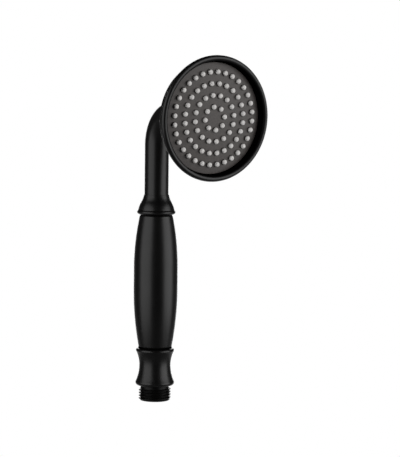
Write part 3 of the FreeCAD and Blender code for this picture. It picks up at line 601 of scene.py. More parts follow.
class Graph:
    """The node tree of a material or of the world."""

    def __init__(self, owner: bpy.types.Material | bpy.types.World) -> None:
        """Empty the owner's node tree.

        Args:
            owner: The material or the world.
        """
        self.owner = owner
        self.owner.use_nodes = True
        self.tree = owner.node_tree
        self.tree.nodes.clear()

    def node(
        self, kind: str, settings: dict[str, Any] | None = None, **inputs: Any,
    ) -> bpy.types.Node:
        """Add a node.

        Args:
            kind: The node's type.
            settings: Its properties, which are set first.
            **inputs: Values or links of its sockets, spaces in a name written as underscores.

        Returns:
            The node.
        """
        node = self.tree.nodes.new(kind)
        for key, value in (settings or {}).items():
            setattr(node, key, value)
        for key, value in inputs.items():
            self.connect(node.inputs[key.replace("_", " ")], value)
        return node

    def connect(self, socket: bpy.types.NodeSocket, value: Any) -> None:
        """Give a socket a link or a plain value.

        Args:
            socket: An input.
            value: A term, another node's output, or what the socket itself can hold.
        """
        value = value.socket if isinstance(value, Term) else value
        if isinstance(value, bpy.types.NodeSocket):
            self.tree.links.new(value, socket)
        else:
            socket.default_value = value

    def feed(self, node: bpy.types.Node, *values: Any) -> bpy.types.Node:
        """Give a node's first sockets their links or values, in order.

        Args:
            node: The node.
            *values: What each socket gets.

        Returns:
            The node.
        """
        for socket, value in zip(node.inputs, values):
            self.connect(socket, value)
        return node

    def calculate(self, operation: str, first: Any, second: Any) -> Term:
        """Add a Math node with two values."""
        node = self.node("ShaderNodeMath", {"operation": operation})
        return Term(self, self.feed(node, first, second).outputs[0])

    def vector(self, operation: str, *vectors: Any, output: str = "Vector") -> bpy.types.NodeSocket:
        """Add a Vector Math node, and hand over the output that is wanted."""
        node = self.node("ShaderNodeVectorMath", {"operation": operation})
        return self.feed(node, *vectors).outputs[output]

    def place(self, stretch: Triple = EVEN) -> bpy.types.NodeSocket:
        """Find the place that is shaded, in the piece's own coordinates.

        Args:
            stretch: Scale along each axis.

        Returns:
            The scaled place.
        """
        source = self.node("ShaderNodeTexCoord").outputs["Object"]
        if stretch == EVEN:
            return source
        return self.node("ShaderNodeMapping", Vector=source, Scale=stretch).outputs[0]

    def noise(
        self, grain: float, detail: float = 2.0, rough: float = 0.5, stretch: Triple = EVEN,
    ) -> Term:
        """Noise whose features are about a grain across, from 0 to 1.

        Args:
            grain: Size of a feature in millimetres.
            detail: Finer layers on top.
            rough: Weight of the finer layers.
            stretch: Scale along each axis.

        Returns:
            The noise.
        """
        node = self.node(
            "ShaderNodeTexNoise", {"noise_dimensions": "3D"}, Vector=self.place(stretch),
            Scale=1.0 / (grain * MM), Detail=detail, Roughness=rough,
        )
        return Term(self, node.outputs[0])

    def ramp(self, value: Any, low: float, high: float, start: float = 0.0) -> Term:
        """Turn a value into a share that runs evenly up to 1 between two levels, and stays there.

        Args:
            value: The value.
            low: Where the share starts to rise.
            high: Where the share is 1.
            start: The share up to the low level.

        Returns:
            The share.
        """
        node = self.node(
            "ShaderNodeMapRange", Value=value, From_Min=low, From_Max=high, To_Min=start,
        )
        return Term(self, node.outputs[0])

    def blend(self, share: Term, first: Any, second: Any) -> bpy.types.NodeSocket:
        """Mix two colours by a share.

        Args:
            share: 0 for the first colour, 1 for the second.
            first: Three numbers, or a socket.
            second: Three numbers, or a socket.

        Returns:
            The mixed colour.
        """
        node = self.node("ShaderNodeMix", {"data_type": "RGBA"})
        self.connect(node.inputs[0], share)
        for socket, colour in zip(node.inputs[COLOUR_INPUTS], (first, second)):
            self.connect(socket, (*colour, 1.0) if isinstance(colour, tuple) else colour)
        return node.outputs[COLOUR_OUTPUT]

    def toned(self, share: Term, colour: Colour, tones: Tones) -> bpy.types.NodeSocket:
        """Let a colour drift between two tones, which are shares of itself."""
        return self.blend(share, scaled(colour, tones[0]), scaled(colour, tones[1]))

    def bump(self, height: Term, depth: float) -> bpy.types.NodeSocket:
        """Tilt the surface by a height that runs from 0 to 1, with a depth in millimetres."""
        node = self.node("ShaderNodeBump", Height=height, Strength=1.0, Distance=depth * MM)
        return node.outputs[0]

    def principled(self, **inputs: Any) -> bpy.types.Node:
        """Add a Principled shader."""
        return self.node("ShaderNodeBsdfPrincipled", **inputs)

    def mixed(self, share: Term, first: bpy.types.Node, second: bpy.types.Node) -> bpy.types.Node:
        """Mix two shaders: 0 is the first, 1 the second."""
        shaders = (first.outputs[0], second.outputs[0])
        return self.feed(self.node("ShaderNodeMixShader"), share, *shaders)

    def finish(self, output: str, shader: bpy.types.Node) -> Any:
        """Join a shader to the output, and hand over the finished owner."""
        self.feed(self.node(output), shader.outputs[0])
        return self.owner


def scaled(colour: Colour, factor: float) -> Colour:
    """A colour made lighter or darker."""
    return (colour[0] * factor, colour[1] * factor, colour[2] * factor)


@dataclass(frozen=True)
class Axis:
    """An axis about which heights and radii are worked out inside a material.

    By itself it is the handset's own: upright through the middle of the inlet's mouth.
    """

    origin: Triple = (0.0, 0.0, 0.0)
    direction: Triple = (0.0, 0.0, 1.0)

    def measure(self, graph: Graph) -> tuple[Term, Term]:
        """Measure the place that is shaded.

        The height is the place less the origin, times the direction. The radius is the length of
        what is left when the height's part along the direction is taken away.

        Args:
            graph: The material's node tree.

        Returns:
            Height along the axis and radius about it, in metres.
        """
        place = graph.vector("SUBTRACT", graph.place(), [part * MM for part in self.origin])
        height = Term(graph, graph.vector("DOT_PRODUCT", place, self.direction, output="Value"))
        lift = graph.node("ShaderNodeVectorMath", {"operation": "SCALE"}, Scale=height)
        across = graph.vector("SUBTRACT", place, graph.feed(lift, self.direction).outputs[0])
        return height, Term(graph, graph.vector("LENGTH", across, output="Value"))


@dataclass(frozen=True)
class Finish:
    """What a surface is made of: a colour with two tones, and a roughness that swings."""

    name: str
    colour: Colour
    roughness: float = 0.5
    swing: float = 0.1
    tones: Tones = (0.9, 1.1)

    def shader(self, graph: Graph) -> bpy.types.Node:
        """Work out the shader, which each kind of finish does its own way."""
        raise NotImplementedError

    def dress(self) -> bpy.types.Material:
        """Build the material."""
        graph = Graph(bpy.data.materials.new(self.name))
        return graph.finish("ShaderNodeOutputMaterial", self.shader(graph))


@dataclass(frozen=True)
class SatinCoat(Finish):
    """Baked satin paint: an even colour, fine orange peel, and gloss that varies a little."""

    roughness: float = 0.34
    swing: float = 0.05
    tones: Tones = (0.85, 1.15)
    shine: float = 0.25
    cloud: float = 9.0
    peel: float = 0.9
    peel_rough: float = 0.4
    peel_depth: float = 0.0016
    grain: float = 0.16
    grain_depth: float = 0.0006
    grain_swing: float = 0.04

    def shader(self, graph: Graph) -> bpy.types.Node:
        """Paint the surface.

        Args:
            graph: The material's node tree.

        Returns:
            The paint.
        """
        cloud = graph.noise(self.cloud, detail=3.0)
        grain = graph.noise(self.grain)
        relief = graph.noise(self.peel, rough=self.peel_rough) * self.peel_depth
        return graph.principled(
            Base_Color=graph.toned(cloud, self.colour, self.tones),
            Roughness=cloud.about(self.roughness, self.swing) + grain.about(0.0, self.grain_swing),
            Specular_IOR_Level=self.shine,
            Normal=graph.bump(relief + grain * self.grain_depth, 1.0),
        )


@dataclass(frozen=True)
class PaintedShadeCoat(SatinCoat):
    """Satin paint with painted shade: a darker, dead matt zone nearer to an axis than an edge,
    above a height.

    The edge of the zone is blurred, so that the painted shade fades out.
    """

    axis: Axis = Axis()
    edge: float = 10.0
    blur: float = 0.35
    above: float = 0.0
    painted_shade_colour: Colour = (0.0008, 0.0008, 0.0008)
    painted_shade_roughness: float = 0.9

    def shader(self, graph: Graph) -> bpy.types.Node:
        """Mix the paint with the zone of painted shade.

        Args:
            graph: The material's node tree.

        Returns:
            The mix.
        """
        height, radius = self.axis.measure(graph)
        beyond = graph.ramp(radius, (self.edge - self.blur) * MM, (self.edge + self.blur) * MM)
        # Painted shade: inside the zone the coat turns darker and dead matt, with no reflection, to
        # stand for the shade there.
        painted_shade = graph.principled(
            Base_Color=(*self.painted_shade_colour, 1.0), Roughness=self.painted_shade_roughness,
            Specular_IOR_Level=0.0,
        )
        share = (1.0 - beyond) * graph.calculate("GREATER_THAN", height, self.above * MM)
        return graph.mixed(share, super().shader(graph), painted_shade)


@dataclass(frozen=True)
class NozzleSilicone(Finish):
    """Moulded silicone: cloudy, with a dull sheen, and painted shade that darkens the feet of the
    nozzles.

    The feet stand on a dome, which falls by the radius squared over twice the dome's own radius.
    """

    roughness: float = 0.55
    swing: float = 0.08
    tones: Tones = (0.93, 1.06)
    cloud: float = 3.5
    skin: float = 0.35
    skin_depth: float = 0.004
    axis: Axis = Axis()
    front: float = 0.0
    dome: float = 100.0
    full_shade_below: float = 0.2
    unshaded_above: float = 1.0
    foot_shade_tone: float = 0.03

    def shader(self, graph: Graph) -> bpy.types.Node:
        """Mould the nozzles.

        Args:
            graph: The material's node tree.

        Returns:
            The silicone.
        """
        cloud = graph.noise(self.cloud, detail=3.0)
        height, radius = self.axis.measure(graph)
        above = height + radius * radius * (0.5 / (self.dome * MM))
        # Painted shade: the base colour falls to a small share of itself towards the foot of each
        # nozzle, where its flank is in shade.
        low, high = self.front + self.full_shade_below, self.front + self.unshaded_above
        unshaded = graph.toned(cloud, self.colour, self.tones)
        foot = scaled(self.colour, self.foot_shade_tone)
        return graph.principled(
            Base_Color=graph.blend(graph.ramp(above, low * MM, high * MM), foot, unshaded),
            Roughness=cloud.about(self.roughness, self.swing),
            Normal=graph.bump(graph.noise(self.skin), self.skin_depth),
        )


@dataclass(frozen=True)
class BlackRubber(Finish):
    """Nitrile rubber: nearly black, with a fine matt grain and a trace of bloom."""

    colour: Colour = (0.012, 0.012, 0.013)
    roughness: float = 0.68
    swing: float = 0.12
    tones: Tones = (1.0, 2.2)
    shine: float = 0.5
    bloom: float = 2.2
    grain: float = 0.12
    grain_depth: float = 0.006

    def shader(self, graph: Graph) -> bpy.types.Node:
        """Mould the rubber.

        Args:
            graph: The material's node tree.

        Returns:
            The rubber.
        """
        bloom = graph.noise(self.bloom, detail=4.0, rough=0.6)
        return graph.principled(
            Base_Color=graph.toned(bloom**2.0, self.colour, self.tones),
            Roughness=bloom.about(self.roughness, self.swing),
            Specular_IOR_Level=self.shine,
            Normal=graph.bump(graph.noise(self.grain), self.grain_depth),
        )


@dataclass(frozen=True)
class MouldedPlastic(Finish):
    """Natural acetal: milky, smooth, with the faint upright flow marks of moulding."""

    colour: Colour = (0.74, 0.73, 0.69)
    roughness: float = 0.35
    tones: Tones = (0.94, 1.04)
    flow: float = 5.0
    flow_stretch: Triple = (1.0, 1.0, 0.3)
    skin: float = 0.5
    skin_depth: float = 0.002

    def shader(self, graph: Graph) -> bpy.types.Node:
        """Mould the plastic.

        Args:
            graph: The material's node tree.

        Returns:
            The plastic.
        """
        flow = graph.noise(self.flow, detail=3.0, stretch=self.flow_stretch)
        return graph.principled(
            Base_Color=graph.toned(flow, self.colour, self.tones),
            Roughness=flow.about(self.roughness, self.swing),
            Normal=graph.bump(graph.noise(self.skin), self.skin_depth),
        )


@dataclass(frozen=True)
class MachinedMetal(Finish):
    """Turned or drawn metal: fine rings about the axis and small changes of colour."""

    roughness: float = 0.28
    swing: float = 0.14
    tones: Tones = (0.88, 1.08)
    patch: float = 4.0
    ring: float = 0.18
    ring_stretch: Triple = (0.05, 0.05, 1.0)
    ring_depth: float = 0.003

    def shader(self, graph: Graph) -> bpy.types.Node:
        """Turn the metal.

        Args:
            graph: The material's node tree.

        Returns:
            The metal.
        """
        patches = graph.noise(self.patch, detail=3.0)
        rings = graph.noise(self.ring, rough=0.6, stretch=self.ring_stretch)
        return graph.principled(
            Base_Color=graph.toned(patches, self.colour, self.tones),
            Roughness=rings.about(self.roughness, self.swing),
            Metallic=1.0,
            Normal=graph.bump(rings, self.ring_depth),
        )


BLACK: Colour = (0.0016, 0.0015, 0.0015)
GREY: Colour = (0.64, 0.625, 0.61)

FINISHES: dict[Slot, Finish] = {
    Slot.METAL: SatinCoat("satin_black_coat", BLACK),
    Slot.GRIP: SatinCoat("satin_black_grip", BLACK),
    Slot.FACE: SatinCoat(
        "matt_black_face", (0.0365, 0.0292, 0.026), roughness=0.55, tones=(0.4, 1.6), shine=0.45,
        cloud=1.1, grain=0.5, grain_depth=0.009,
    ),
    Slot.PLASTIC: MouldedPlastic("natural_acetal"),
    Slot.BRASS: MachinedMetal("machined_brass", (0.72, 0.53, 0.25)),
    Slot.STEEL: MachinedMetal("stainless_steel", (0.56, 0.56, 0.57)),
    Slot.RUBBER: BlackRubber("nitrile_rubber"),
}


@cache
def material_of(slot: Slot) -> bpy.types.Material:
    """The material of a slot, built once."""
    return FINISHES[slot].dress()


# ---------------------------------------------------------------------------------------------
# Pieces
# ---------------------------------------------------------------------------------------------


def add_piece(
    name: str, shape: Shape, slot: Slot, node: str, finish: Finish | None = None,
) -> bpy.types.Object:
    """Put a finished surface in the scene, in place of the CAD node that it stands for.

    Args:
        name: The piece's name.
        shape: Its surface, in the object's own frame.
        slot: The record's slot for it.
        node: The CAD node that it replaces.
        finish: A finish of its own, in place of its slot's.

    Returns:
        The piece.
    """
    piece = shape.as_object(name)
    piece.data.materials.append(finish.dress() if finish else material_of(slot))
    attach(piece, HANDSET)
    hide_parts(node)
    low, high = (np.array(corner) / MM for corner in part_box(node))
    past = max(np.max(low - shape.points.min(0)), np.max(shape.points.max(0) - high))
    log.info("%s: %d faces, at most %.3f mm outside the CAD box", name, len(shape.faces), past)
    return piece


def dress_nodes(slot: Slot, *nodes: str) -> None:
    """Give CAD nodes that stay visible the finish of their slot.

    Args:
        slot: The slot.
        *nodes: The nodes.
    """
    for node in nodes:
        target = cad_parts[node]
        if not target.material_slots:
            target.data.materials.append(None)
        for holder in target.material_slots:
            holder.material = material_of(slot)
        log.info("%s: kept from the packed model, finished as %s", node, slot.value)


def bottom_of(node: str) -> float:
    """Lowest height of a CAD node, in millimetres."""
    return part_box(node)[0].z / MM


def top_of(node: str) -> float:
    """Highest height of a CAD node, in millimetres."""
    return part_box(node)[1].z / MM


def tangent_bend(rise: float, width: float) -> float:
    """Radius of the arc that climbs by a rise, moves by a width and is upright at one end."""
    return (rise * rise + width * width) / (2.0 * width)


@dataclass
class Neck:
    """The bent tube and the cone-shaped collar at its foot."""

    # The tube: straight up, round a bend of 90 degrees and the tilt, and forwards.
    radius: float = 7.8
    bore: float = 6.35
    rise: float = 45.5
    bend: float = 21.3
    tilt: float = 2.6
    run: float = 19.6
    insert: float = 7.8
    around: int = 160
    # The collar: radii, and heights above its foot.
    fit: float = 0.05
    collar_edge: float = 10.7
    lip: float = 12.2
    lip_arc: float = 1.5
    lip_foot: float = 0.9
    lip_top: float = 2.7
    cone: float = 11.8
    cone_foot: float = 3.2
    swell: float = 17.0
    cone_middle: float = 9.7
    cone_bend: float = 8.6
    hollow: float = 13.3
    collar_height: float = 13.2
    collar_wall: float = 0.25
    foot: float = field(default_factory=lambda: bottom_of("upper_collar"))

    @property
    def turn(self) -> float:
        """Angle of the bend, in radians."""
        return math.radians(90.0 + self.tilt)

    def along(self, travelled: Array) -> tuple[Array, Array]:
        """Find the tube's centre line: up, round an arc and forwards.

        The angle is (travelled - rise) / bend, held between 0 and the whole turn. The centre is
        the arc's point at that angle, plus what is travelled before or after it along the tangent.

        Args:
            travelled: Distances from the tube's foot.

        Returns:
            The centres, n by 3, and the angles by which the tangent leans from Z to X.
        """
        lean = np.clip((travelled - self.rise) / self.bend, 0.0, self.turn)
        before = np.minimum(travelled, self.rise)
        after = np.maximum(travelled - self.rise - self.bend * self.turn, 0.0)
        across = self.bend * (1.0 - np.cos(lean)) + after * np.sin(lean)
        height = self.foot + before + self.bend * np.sin(lean) + after * np.cos(lean)
        return np.stack([across, np.zeros_like(across), height], -1), lean

    def head_frame(self) -> tuple[Array, Array]:
        """Find the head's own frame: its Z runs out of the spray face.

        Returns:
            The directions of its X, Y and Z, one to a row, and its origin.
        """
        end = self.rise + self.bend * self.turn + self.run - self.insert
        centre, lean = self.along(np.array([end]))
        s, c = math.sin(lean[0]), math.cos(lean[0])
        return np.array([[c, 0.0, -s], [0.0, 1.0, 0.0], [s, 0.0, c]]), centre[0]

    def tube(self) -> Shape:
        """Turn a straight tube, then carry it along the centre line.

        Returns:
            The tube.
        """
        length = self.rise + self.bend * self.turn + self.run
        section = channel(self.bore, self.radius, 0.0, length)
        straight = turned(Outline(section, rounding=0.1, longest=0.8), self.around)
        centre, lean = self.along(straight.points[:, 2])
        level = np.zeros_like(lean)
        inward = np.stack([np.cos(lean), level, -np.sin(lean)], -1)
        forward = np.stack([np.sin(lean), level, np.cos(lean)], -1)
        sideways = np.array([0.0, 1.0, 0.0])
        points = centre + straight.points[:, :1] * inward + straight.points[:, 1:2] * sideways
        x, y, z = np.split(straight.normals, 3, axis=1)
        return Shape(points, x * inward + y * sideways + z * forward, straight.faces)

    def collar(self) -> Shape:
        """Turn the collar: bevel, rounded lip, groove and a cone that thins out onto the tube.

        Returns:
            The collar.
        """
        z, inner = self.foot, self.radius + self.fit
        top = z + self.collar_height
        return turned(Outline((
            Corner(inner, z), Corner(self.collar_edge, z),
            Corner(self.lip, z + self.lip_foot, self.lip_arc), Corner(self.lip, z + self.lip_top),
            Corner(self.cone, z + self.cone_foot, self.swell),
            Corner(self.cone_middle, z + self.cone_bend, -self.hollow),
            Corner(inner + self.collar_wall, top), Corner(inner, top),
        ), rounding=0.1))

    def build(self) -> None:
        """Make both pieces."""
        add_piece("bent_neck", self.tube(), Slot.METAL, "neck_tube")
        add_piece("cone_collar", self.collar(), Slot.METAL, "upper_collar")


@dataclass
class Head:
    """Domed shell, drilled face plate and the silicone mat whose nozzles stand through it.

    Heights are counted along the head's axis from the back face of its boss.
    """

    axes: Array
    origin: Array
    around: int = 288
    fit: float = 0.05
    # The boss and its inside.
    boss_bore: float = 7.85
    boss: float = 10.6
    boss_chamfer: float = 0.8
    seal_groove: float = 1.05
    groove_low: float = 4.4
    groove_high: float = 6.0
    tube_stop: float = 7.8
    waterway: float = 6.35
    floor: float = 9.6
    floor_edge: float = 15.0
    # The back: cove, dome, shoulder and drum.
    cove: float = 3.2
    cove_low: float = 3.3
    cove_high: float = 6.3
    cove_width: float = 2.0
    dome_depth: float = 24.3
    dome: float = 50.0
    wall: float = 2.0
    chamber_wall: float = 1.55
    shoulder: float = 1.9
    shoulder_arc: float = 1.17
    shoulder_end: float = 1.0
    shoulder_rise: float = 0.9
    drum: float = 36.95
    drum_step: float = 0.2
    # The rim, its bevel and the recess, with the edge of the painted shade inside it.
    rim: float = 39.45
    rim_back: float = 31.7
    rim_back_edge: float = 0.5
    rim_arc: float = 1.9
    crest: float = 34.9
    bevel_drop: float = 0.5
    bevel_outer: float = 1.25
    bevel_inner: float = 1.75
    bevel_fall: float = 0.45
    recess: float = 35.15
    painted_shade_edge: float = 36.2
    painted_shade_depth: float = 28.5
    # The face plate: its sheet runs from the ledge to the front, with a skirt behind.
    ledge: float = 29.0
    front: float = 32.0
    crown: float = 2.2
    plate: float = 35.0
    plate_side: float = 0.4
    plate_bevel: float = 0.15
    dome_edge: float = 0.3
    rim_band: float = 1.4
    skirt: float = 34.05
    skirt_inner: float = 32.65
    skirt_end: float = 24.9
    skirt_band: float = 0.5
    # Lands are flat rings round holes. The screws go into blind bosses.
    land: float = 0.3
    screw_boss: float = 1.85
    screw_land: float = 0.25
    pilot: float = 1.15
    pilot_end: float = 30.0
    screws: int = 4
    screw_phase: float = 13.125
    # The mat and its nozzles.
    mat: float = 32.5
    mat_back: float = 27.8
    mat_band: float = 0.5
    mat_hole: float = 2.0
    mat_land: float = 0.35
    pitch: float = 7.25
    rings: int = 4
    first_ring: int = 8
    phase: float = 7.5
    nozzle: float = 1.6
    nozzle_gap: float = 0.15
    nozzle_height: float = 2.0
    nozzle_taper: float = 0.03
    nozzle_land: float = 0.2
    tip: float = 0.95
    tip_arc: float = 1.5
    jet: float = 0.13
    jet_edge: float = 0.06
    jet_chamfer: float = 0.1
    funnel: float = 0.7
    funnel_depth: float = 0.4

    @property
    def dome_of_face(self) -> float:
        """Radius of the domed front, from how far it falls between its middle and its edge."""
        edge = self.plate - self.dome_edge
        return (edge**2 + self.crown**2) / (2.0 * self.crown)

    def nozzle_centres(self) -> Array:
        """Places of the nozzles: rings at even steps, each with as many more as the first has."""
        start = math.radians(self.phase)
        return np.concatenate([
            self.pitch * ring * compass(self.first_ring * ring, start)
            for ring in range(1, self.rings + 1)
        ])

    def screw_centres(self) -> Array:
        """Places of the screw bosses, half way between the two outer rings."""
        start = math.radians(self.screw_phase)
        return self.pitch * (self.rings - 0.5) * compass(self.screws, start)

    def shell(self) -> Shape:
        """Turn the shell: boss, cove, dome, drum, rounded rim, recess, chamber and seal groove.

        Returns:
            The shell.
        """
        bore, drum, rim, arc = self.boss_bore, self.drum, self.rim, self.rim_arc
        boss, depth, skirt = self.boss, self.dome_depth, self.skirt + self.fit
        groove, bevel = bore + self.seal_groove, self.crest - self.bevel_drop
        return turned(Outline((
            Corner(bore, 0.0), Corner(boss - self.boss_chamfer, 0.0),
            Corner(boss, self.boss_chamfer), Corner(boss, self.cove_low, -self.cove),
            Corner(boss + self.cove_width, self.cove_high, self.dome),
            Corner(drum - self.shoulder, depth, self.shoulder_arc),
            Corner(drum - self.shoulder_end, depth + self.shoulder_rise),
            Corner(drum, self.rim_back - self.drum_step),
            Corner(rim - self.rim_back_edge, self.rim_back, arc),
            Corner(rim, self.crest - arc, arc), Corner(rim - arc, self.crest, arc),
            Corner(rim - arc - self.bevel_outer, bevel),
            Corner(rim - arc - self.bevel_inner, bevel - self.bevel_fall),
            Corner(self.recess, self.ledge), Corner(skirt, self.ledge), Corner(skirt, depth),
            Corner(self.skirt - self.chamber_wall, depth, -(self.dome - self.wall)),
            Corner(self.floor_edge, self.floor), Corner(self.waterway, self.floor),
            Corner(self.waterway, self.tube_stop), Corner(bore, self.tube_stop),
            Corner(bore, self.groove_high), Corner(groove, self.groove_high),
            Corner(groove, self.groove_low), Corner(bore, self.groove_low),
        ), rounding=0.13), self.around)

    def face_plate(self) -> Shape:
        """Drill the plate: front sheet, rim and skirt, back sheet, lined holes and screw bosses.

        Returns:
            The plate.
        """
        ledge, front = self.ledge, self.front
        hole = self.nozzle + self.nozzle_gap
        land, boss_land = hole + self.land, self.screw_boss + self.screw_land
        edge, inner = self.plate - self.rim_band, self.skirt_inner - self.skirt_band
        rim = Outline((
            Corner(inner, ledge), Corner(self.skirt_inner, ledge),
            Corner(self.skirt_inner, self.skirt_end), Corner(self.skirt, self.skirt_end),
            Corner(self.skirt, ledge), Corner(self.plate, ledge),
            Corner(self.plate, ledge + self.plate_side),
            Corner(self.plate - self.plate_bevel, front), Corner(edge, front),
        ), closed=False, rounding=0.1)
        lining = Outline(
            channel(land, hole, front, ledge), closed=False, rounding=0.06, turn=15.0,
        )
        boss = Outline((
            Corner(0.0, self.pilot_end), Corner(self.pilot, self.pilot_end),
            Corner(self.pilot, self.mat_back), Corner(self.screw_boss, self.mat_back),
            Corner(self.screw_boss, ledge), Corner(boss_land, ledge),
        ), closed=False, rounding=0.06, turn=15.0)
        through = Holes(self.nozzle_centres(), land)
        bosses = Holes(self.screw_centres(), boss_land)
        sheet = Shape.joined([
            turned(rim, self.around),
            perforated_disc(edge, self.around, front, 1.0, through),
            through.lined(lining),
        ])
        return Shape.joined([
            sheet.crowned(ledge, front, self.dome_of_face),
            perforated_disc(inner, self.around, ledge, -1.0, through, bosses),
            bosses.lined(boss),
        ])

    def nozzle_mat(self) -> Shape:
        """Mould the mat: two sheets, an edge, and nozzles with a rounded tip and a narrow jet.

        Returns:
            The mat.
        """
        ledge, back = self.ledge, self.mat_back
        nozzles, top = self.nozzle_centres(), self.front + self.nozzle_height
        base, mouth = self.nozzle + self.nozzle_land, self.funnel + self.nozzle_land
        inner, cleared = self.mat - self.mat_band, self.mat_hole + self.mat_land
        edge = Outline(channel(inner, self.mat, back, ledge), closed=False, rounding=0.08)
        nozzle = Outline((
            Corner(base, ledge), Corner(self.nozzle, ledge),
            Corner(self.nozzle - self.nozzle_taper, top - self.tip, self.tip_arc),
            Corner(self.jet + self.jet_edge, top), Corner(self.jet, top - self.jet_chamfer),
            Corner(self.jet, back + self.funnel_depth), Corner(self.funnel, back),
            Corner(mouth, back),
        ), closed=False, rounding=0.05, turn=14.0)
        clearance = Outline(
            channel(cleared, self.mat_hole, ledge, back), closed=False, rounding=0.05, turn=15.0,
        )
        fronts, backs = Holes(nozzles, base), Holes(nozzles, mouth)
        bosses = Holes(self.screw_centres(), cleared)
        standing = fronts.lined(nozzle)
        reach = np.repeat(np.hypot(*nozzles.T), len(standing.points) // len(nozzles))
        return Shape.joined([
            turned(edge, self.around),
            perforated_disc(inner, self.around, ledge, 1.0, fronts, bosses),
            perforated_disc(inner, self.around, back, -1.0, backs, bosses),
            standing.crowned(ledge, top, self.dome_of_face, reach),
            bosses.lined(clearance),
        ])

    def build(self) -> None:
        """Make the pieces that show, and finish the hidden ones."""
        axis = Axis(tuple(self.origin), tuple(self.axes[2]))
        # Painted shade: the recess wall and bevel inside the rim get a darker, dead matt coat for
        # the shade that falls there.
        coat = PaintedShadeCoat(
            "recess_painted_shade_coat", BLACK, axis=axis, edge=self.painted_shade_edge, above=self.painted_shade_depth,
        )
        skin = NozzleSilicone(
            "nozzle_silicone_painted_foot_shade", GREY, axis=axis, front=self.front, dome=self.dome_of_face,
        )
        for name, shape, slot, node, finish in (
            ("turned_shell", self.shell(), Slot.METAL, "head_shell", coat),
            ("drilled_face", self.face_plate(), Slot.FACE, "face_plate", None),
            ("silicone_nozzles", self.nozzle_mat(), Slot.SILICONE, "nozzle_mat", skin),
        ):
            add_piece(name, shape.placed(self.axes, self.origin), slot, node, finish)
        dress_nodes(Slot.PLASTIC, "spray_plate")
        dress_nodes(Slot.STEEL, "plate_screws")
        dress_nodes(Slot.RUBBER, "face_gasket", "head_seal")


@dataclass
class Grip:
    """Barrel-shaped sleeve between two thin washers, over the core tube."""

    bore: float = 6.35
    lower_end: float = 10.85
    upper_end: float = 10.75
    belly: float = 14.3
    belly_height: float = 36.8
    belly_length: float = 14.5
    seat: float = 8.0
    cavity: float = 9.0
    washer_inset: float = 0.5
    bottom: float = field(default_factory=lambda: bottom_of("grip_sleeve"))
    top: float = field(default_factory=lambda: top_of("grip_sleeve"))

    def sleeve(self) -> Shape:
        """Turn the sleeve: two long arcs that meet a straight belly, and its hollow inside.

        Returns:
            The sleeve.
        """
        low, high = self.bottom, self.top
        belly_low = low + self.belly_height
        belly_high = belly_low + self.belly_length
        lower_bend = tangent_bend(self.belly_height, self.belly - self.lower_end)
        upper_bend = tangent_bend(high - belly_high, self.belly - self.upper_end)
        return turned(Outline((
            Corner(self.bore, low), Corner(self.lower_end, low, lower_bend),
            Corner(self.belly, belly_low), Corner(self.belly, belly_high, upper_bend),
            Corner(self.upper_end, high), Corner(self.bore, high),
            Corner(self.bore, high - self.seat), Corner(self.cavity, high - self.seat),
            Corner(self.cavity, low + self.seat), Corner(self.bore, low + self.seat),
        ), rounding=0.16))

    def washer(self, node: str, outer: float) -> Shape:
        """Turn a thin washer with soft edges, at the height of its CAD node."""
        section = channel(self.bore, outer, bottom_of(node), top_of(node))
        return turned(Outline(section, rounding=0.06))

    def build(self) -> None:
        """Make the sleeve and its washers, and finish the core tube and its seals."""
        add_piece("barrel_grip", self.sleeve(), Slot.GRIP, "grip_sleeve")
        matt = BlackRubber("matt_black_rubber", scaled(BLACK, 0.5), shine=0.04)
        for name, node, end in (
            ("lower_washer", "grip_lower_gasket", self.lower_end),
            ("upper_washer", "grip_upper_gasket", self.upper_end),
        ):
            add_piece(name, self.washer(node, end - self.washer_inset), Slot.RUBBER, node, matt)
        dress_nodes(Slot.BRASS, "core_tube")
        dress_nodes(Slot.RUBBER, "core_seal", "neck_seal")


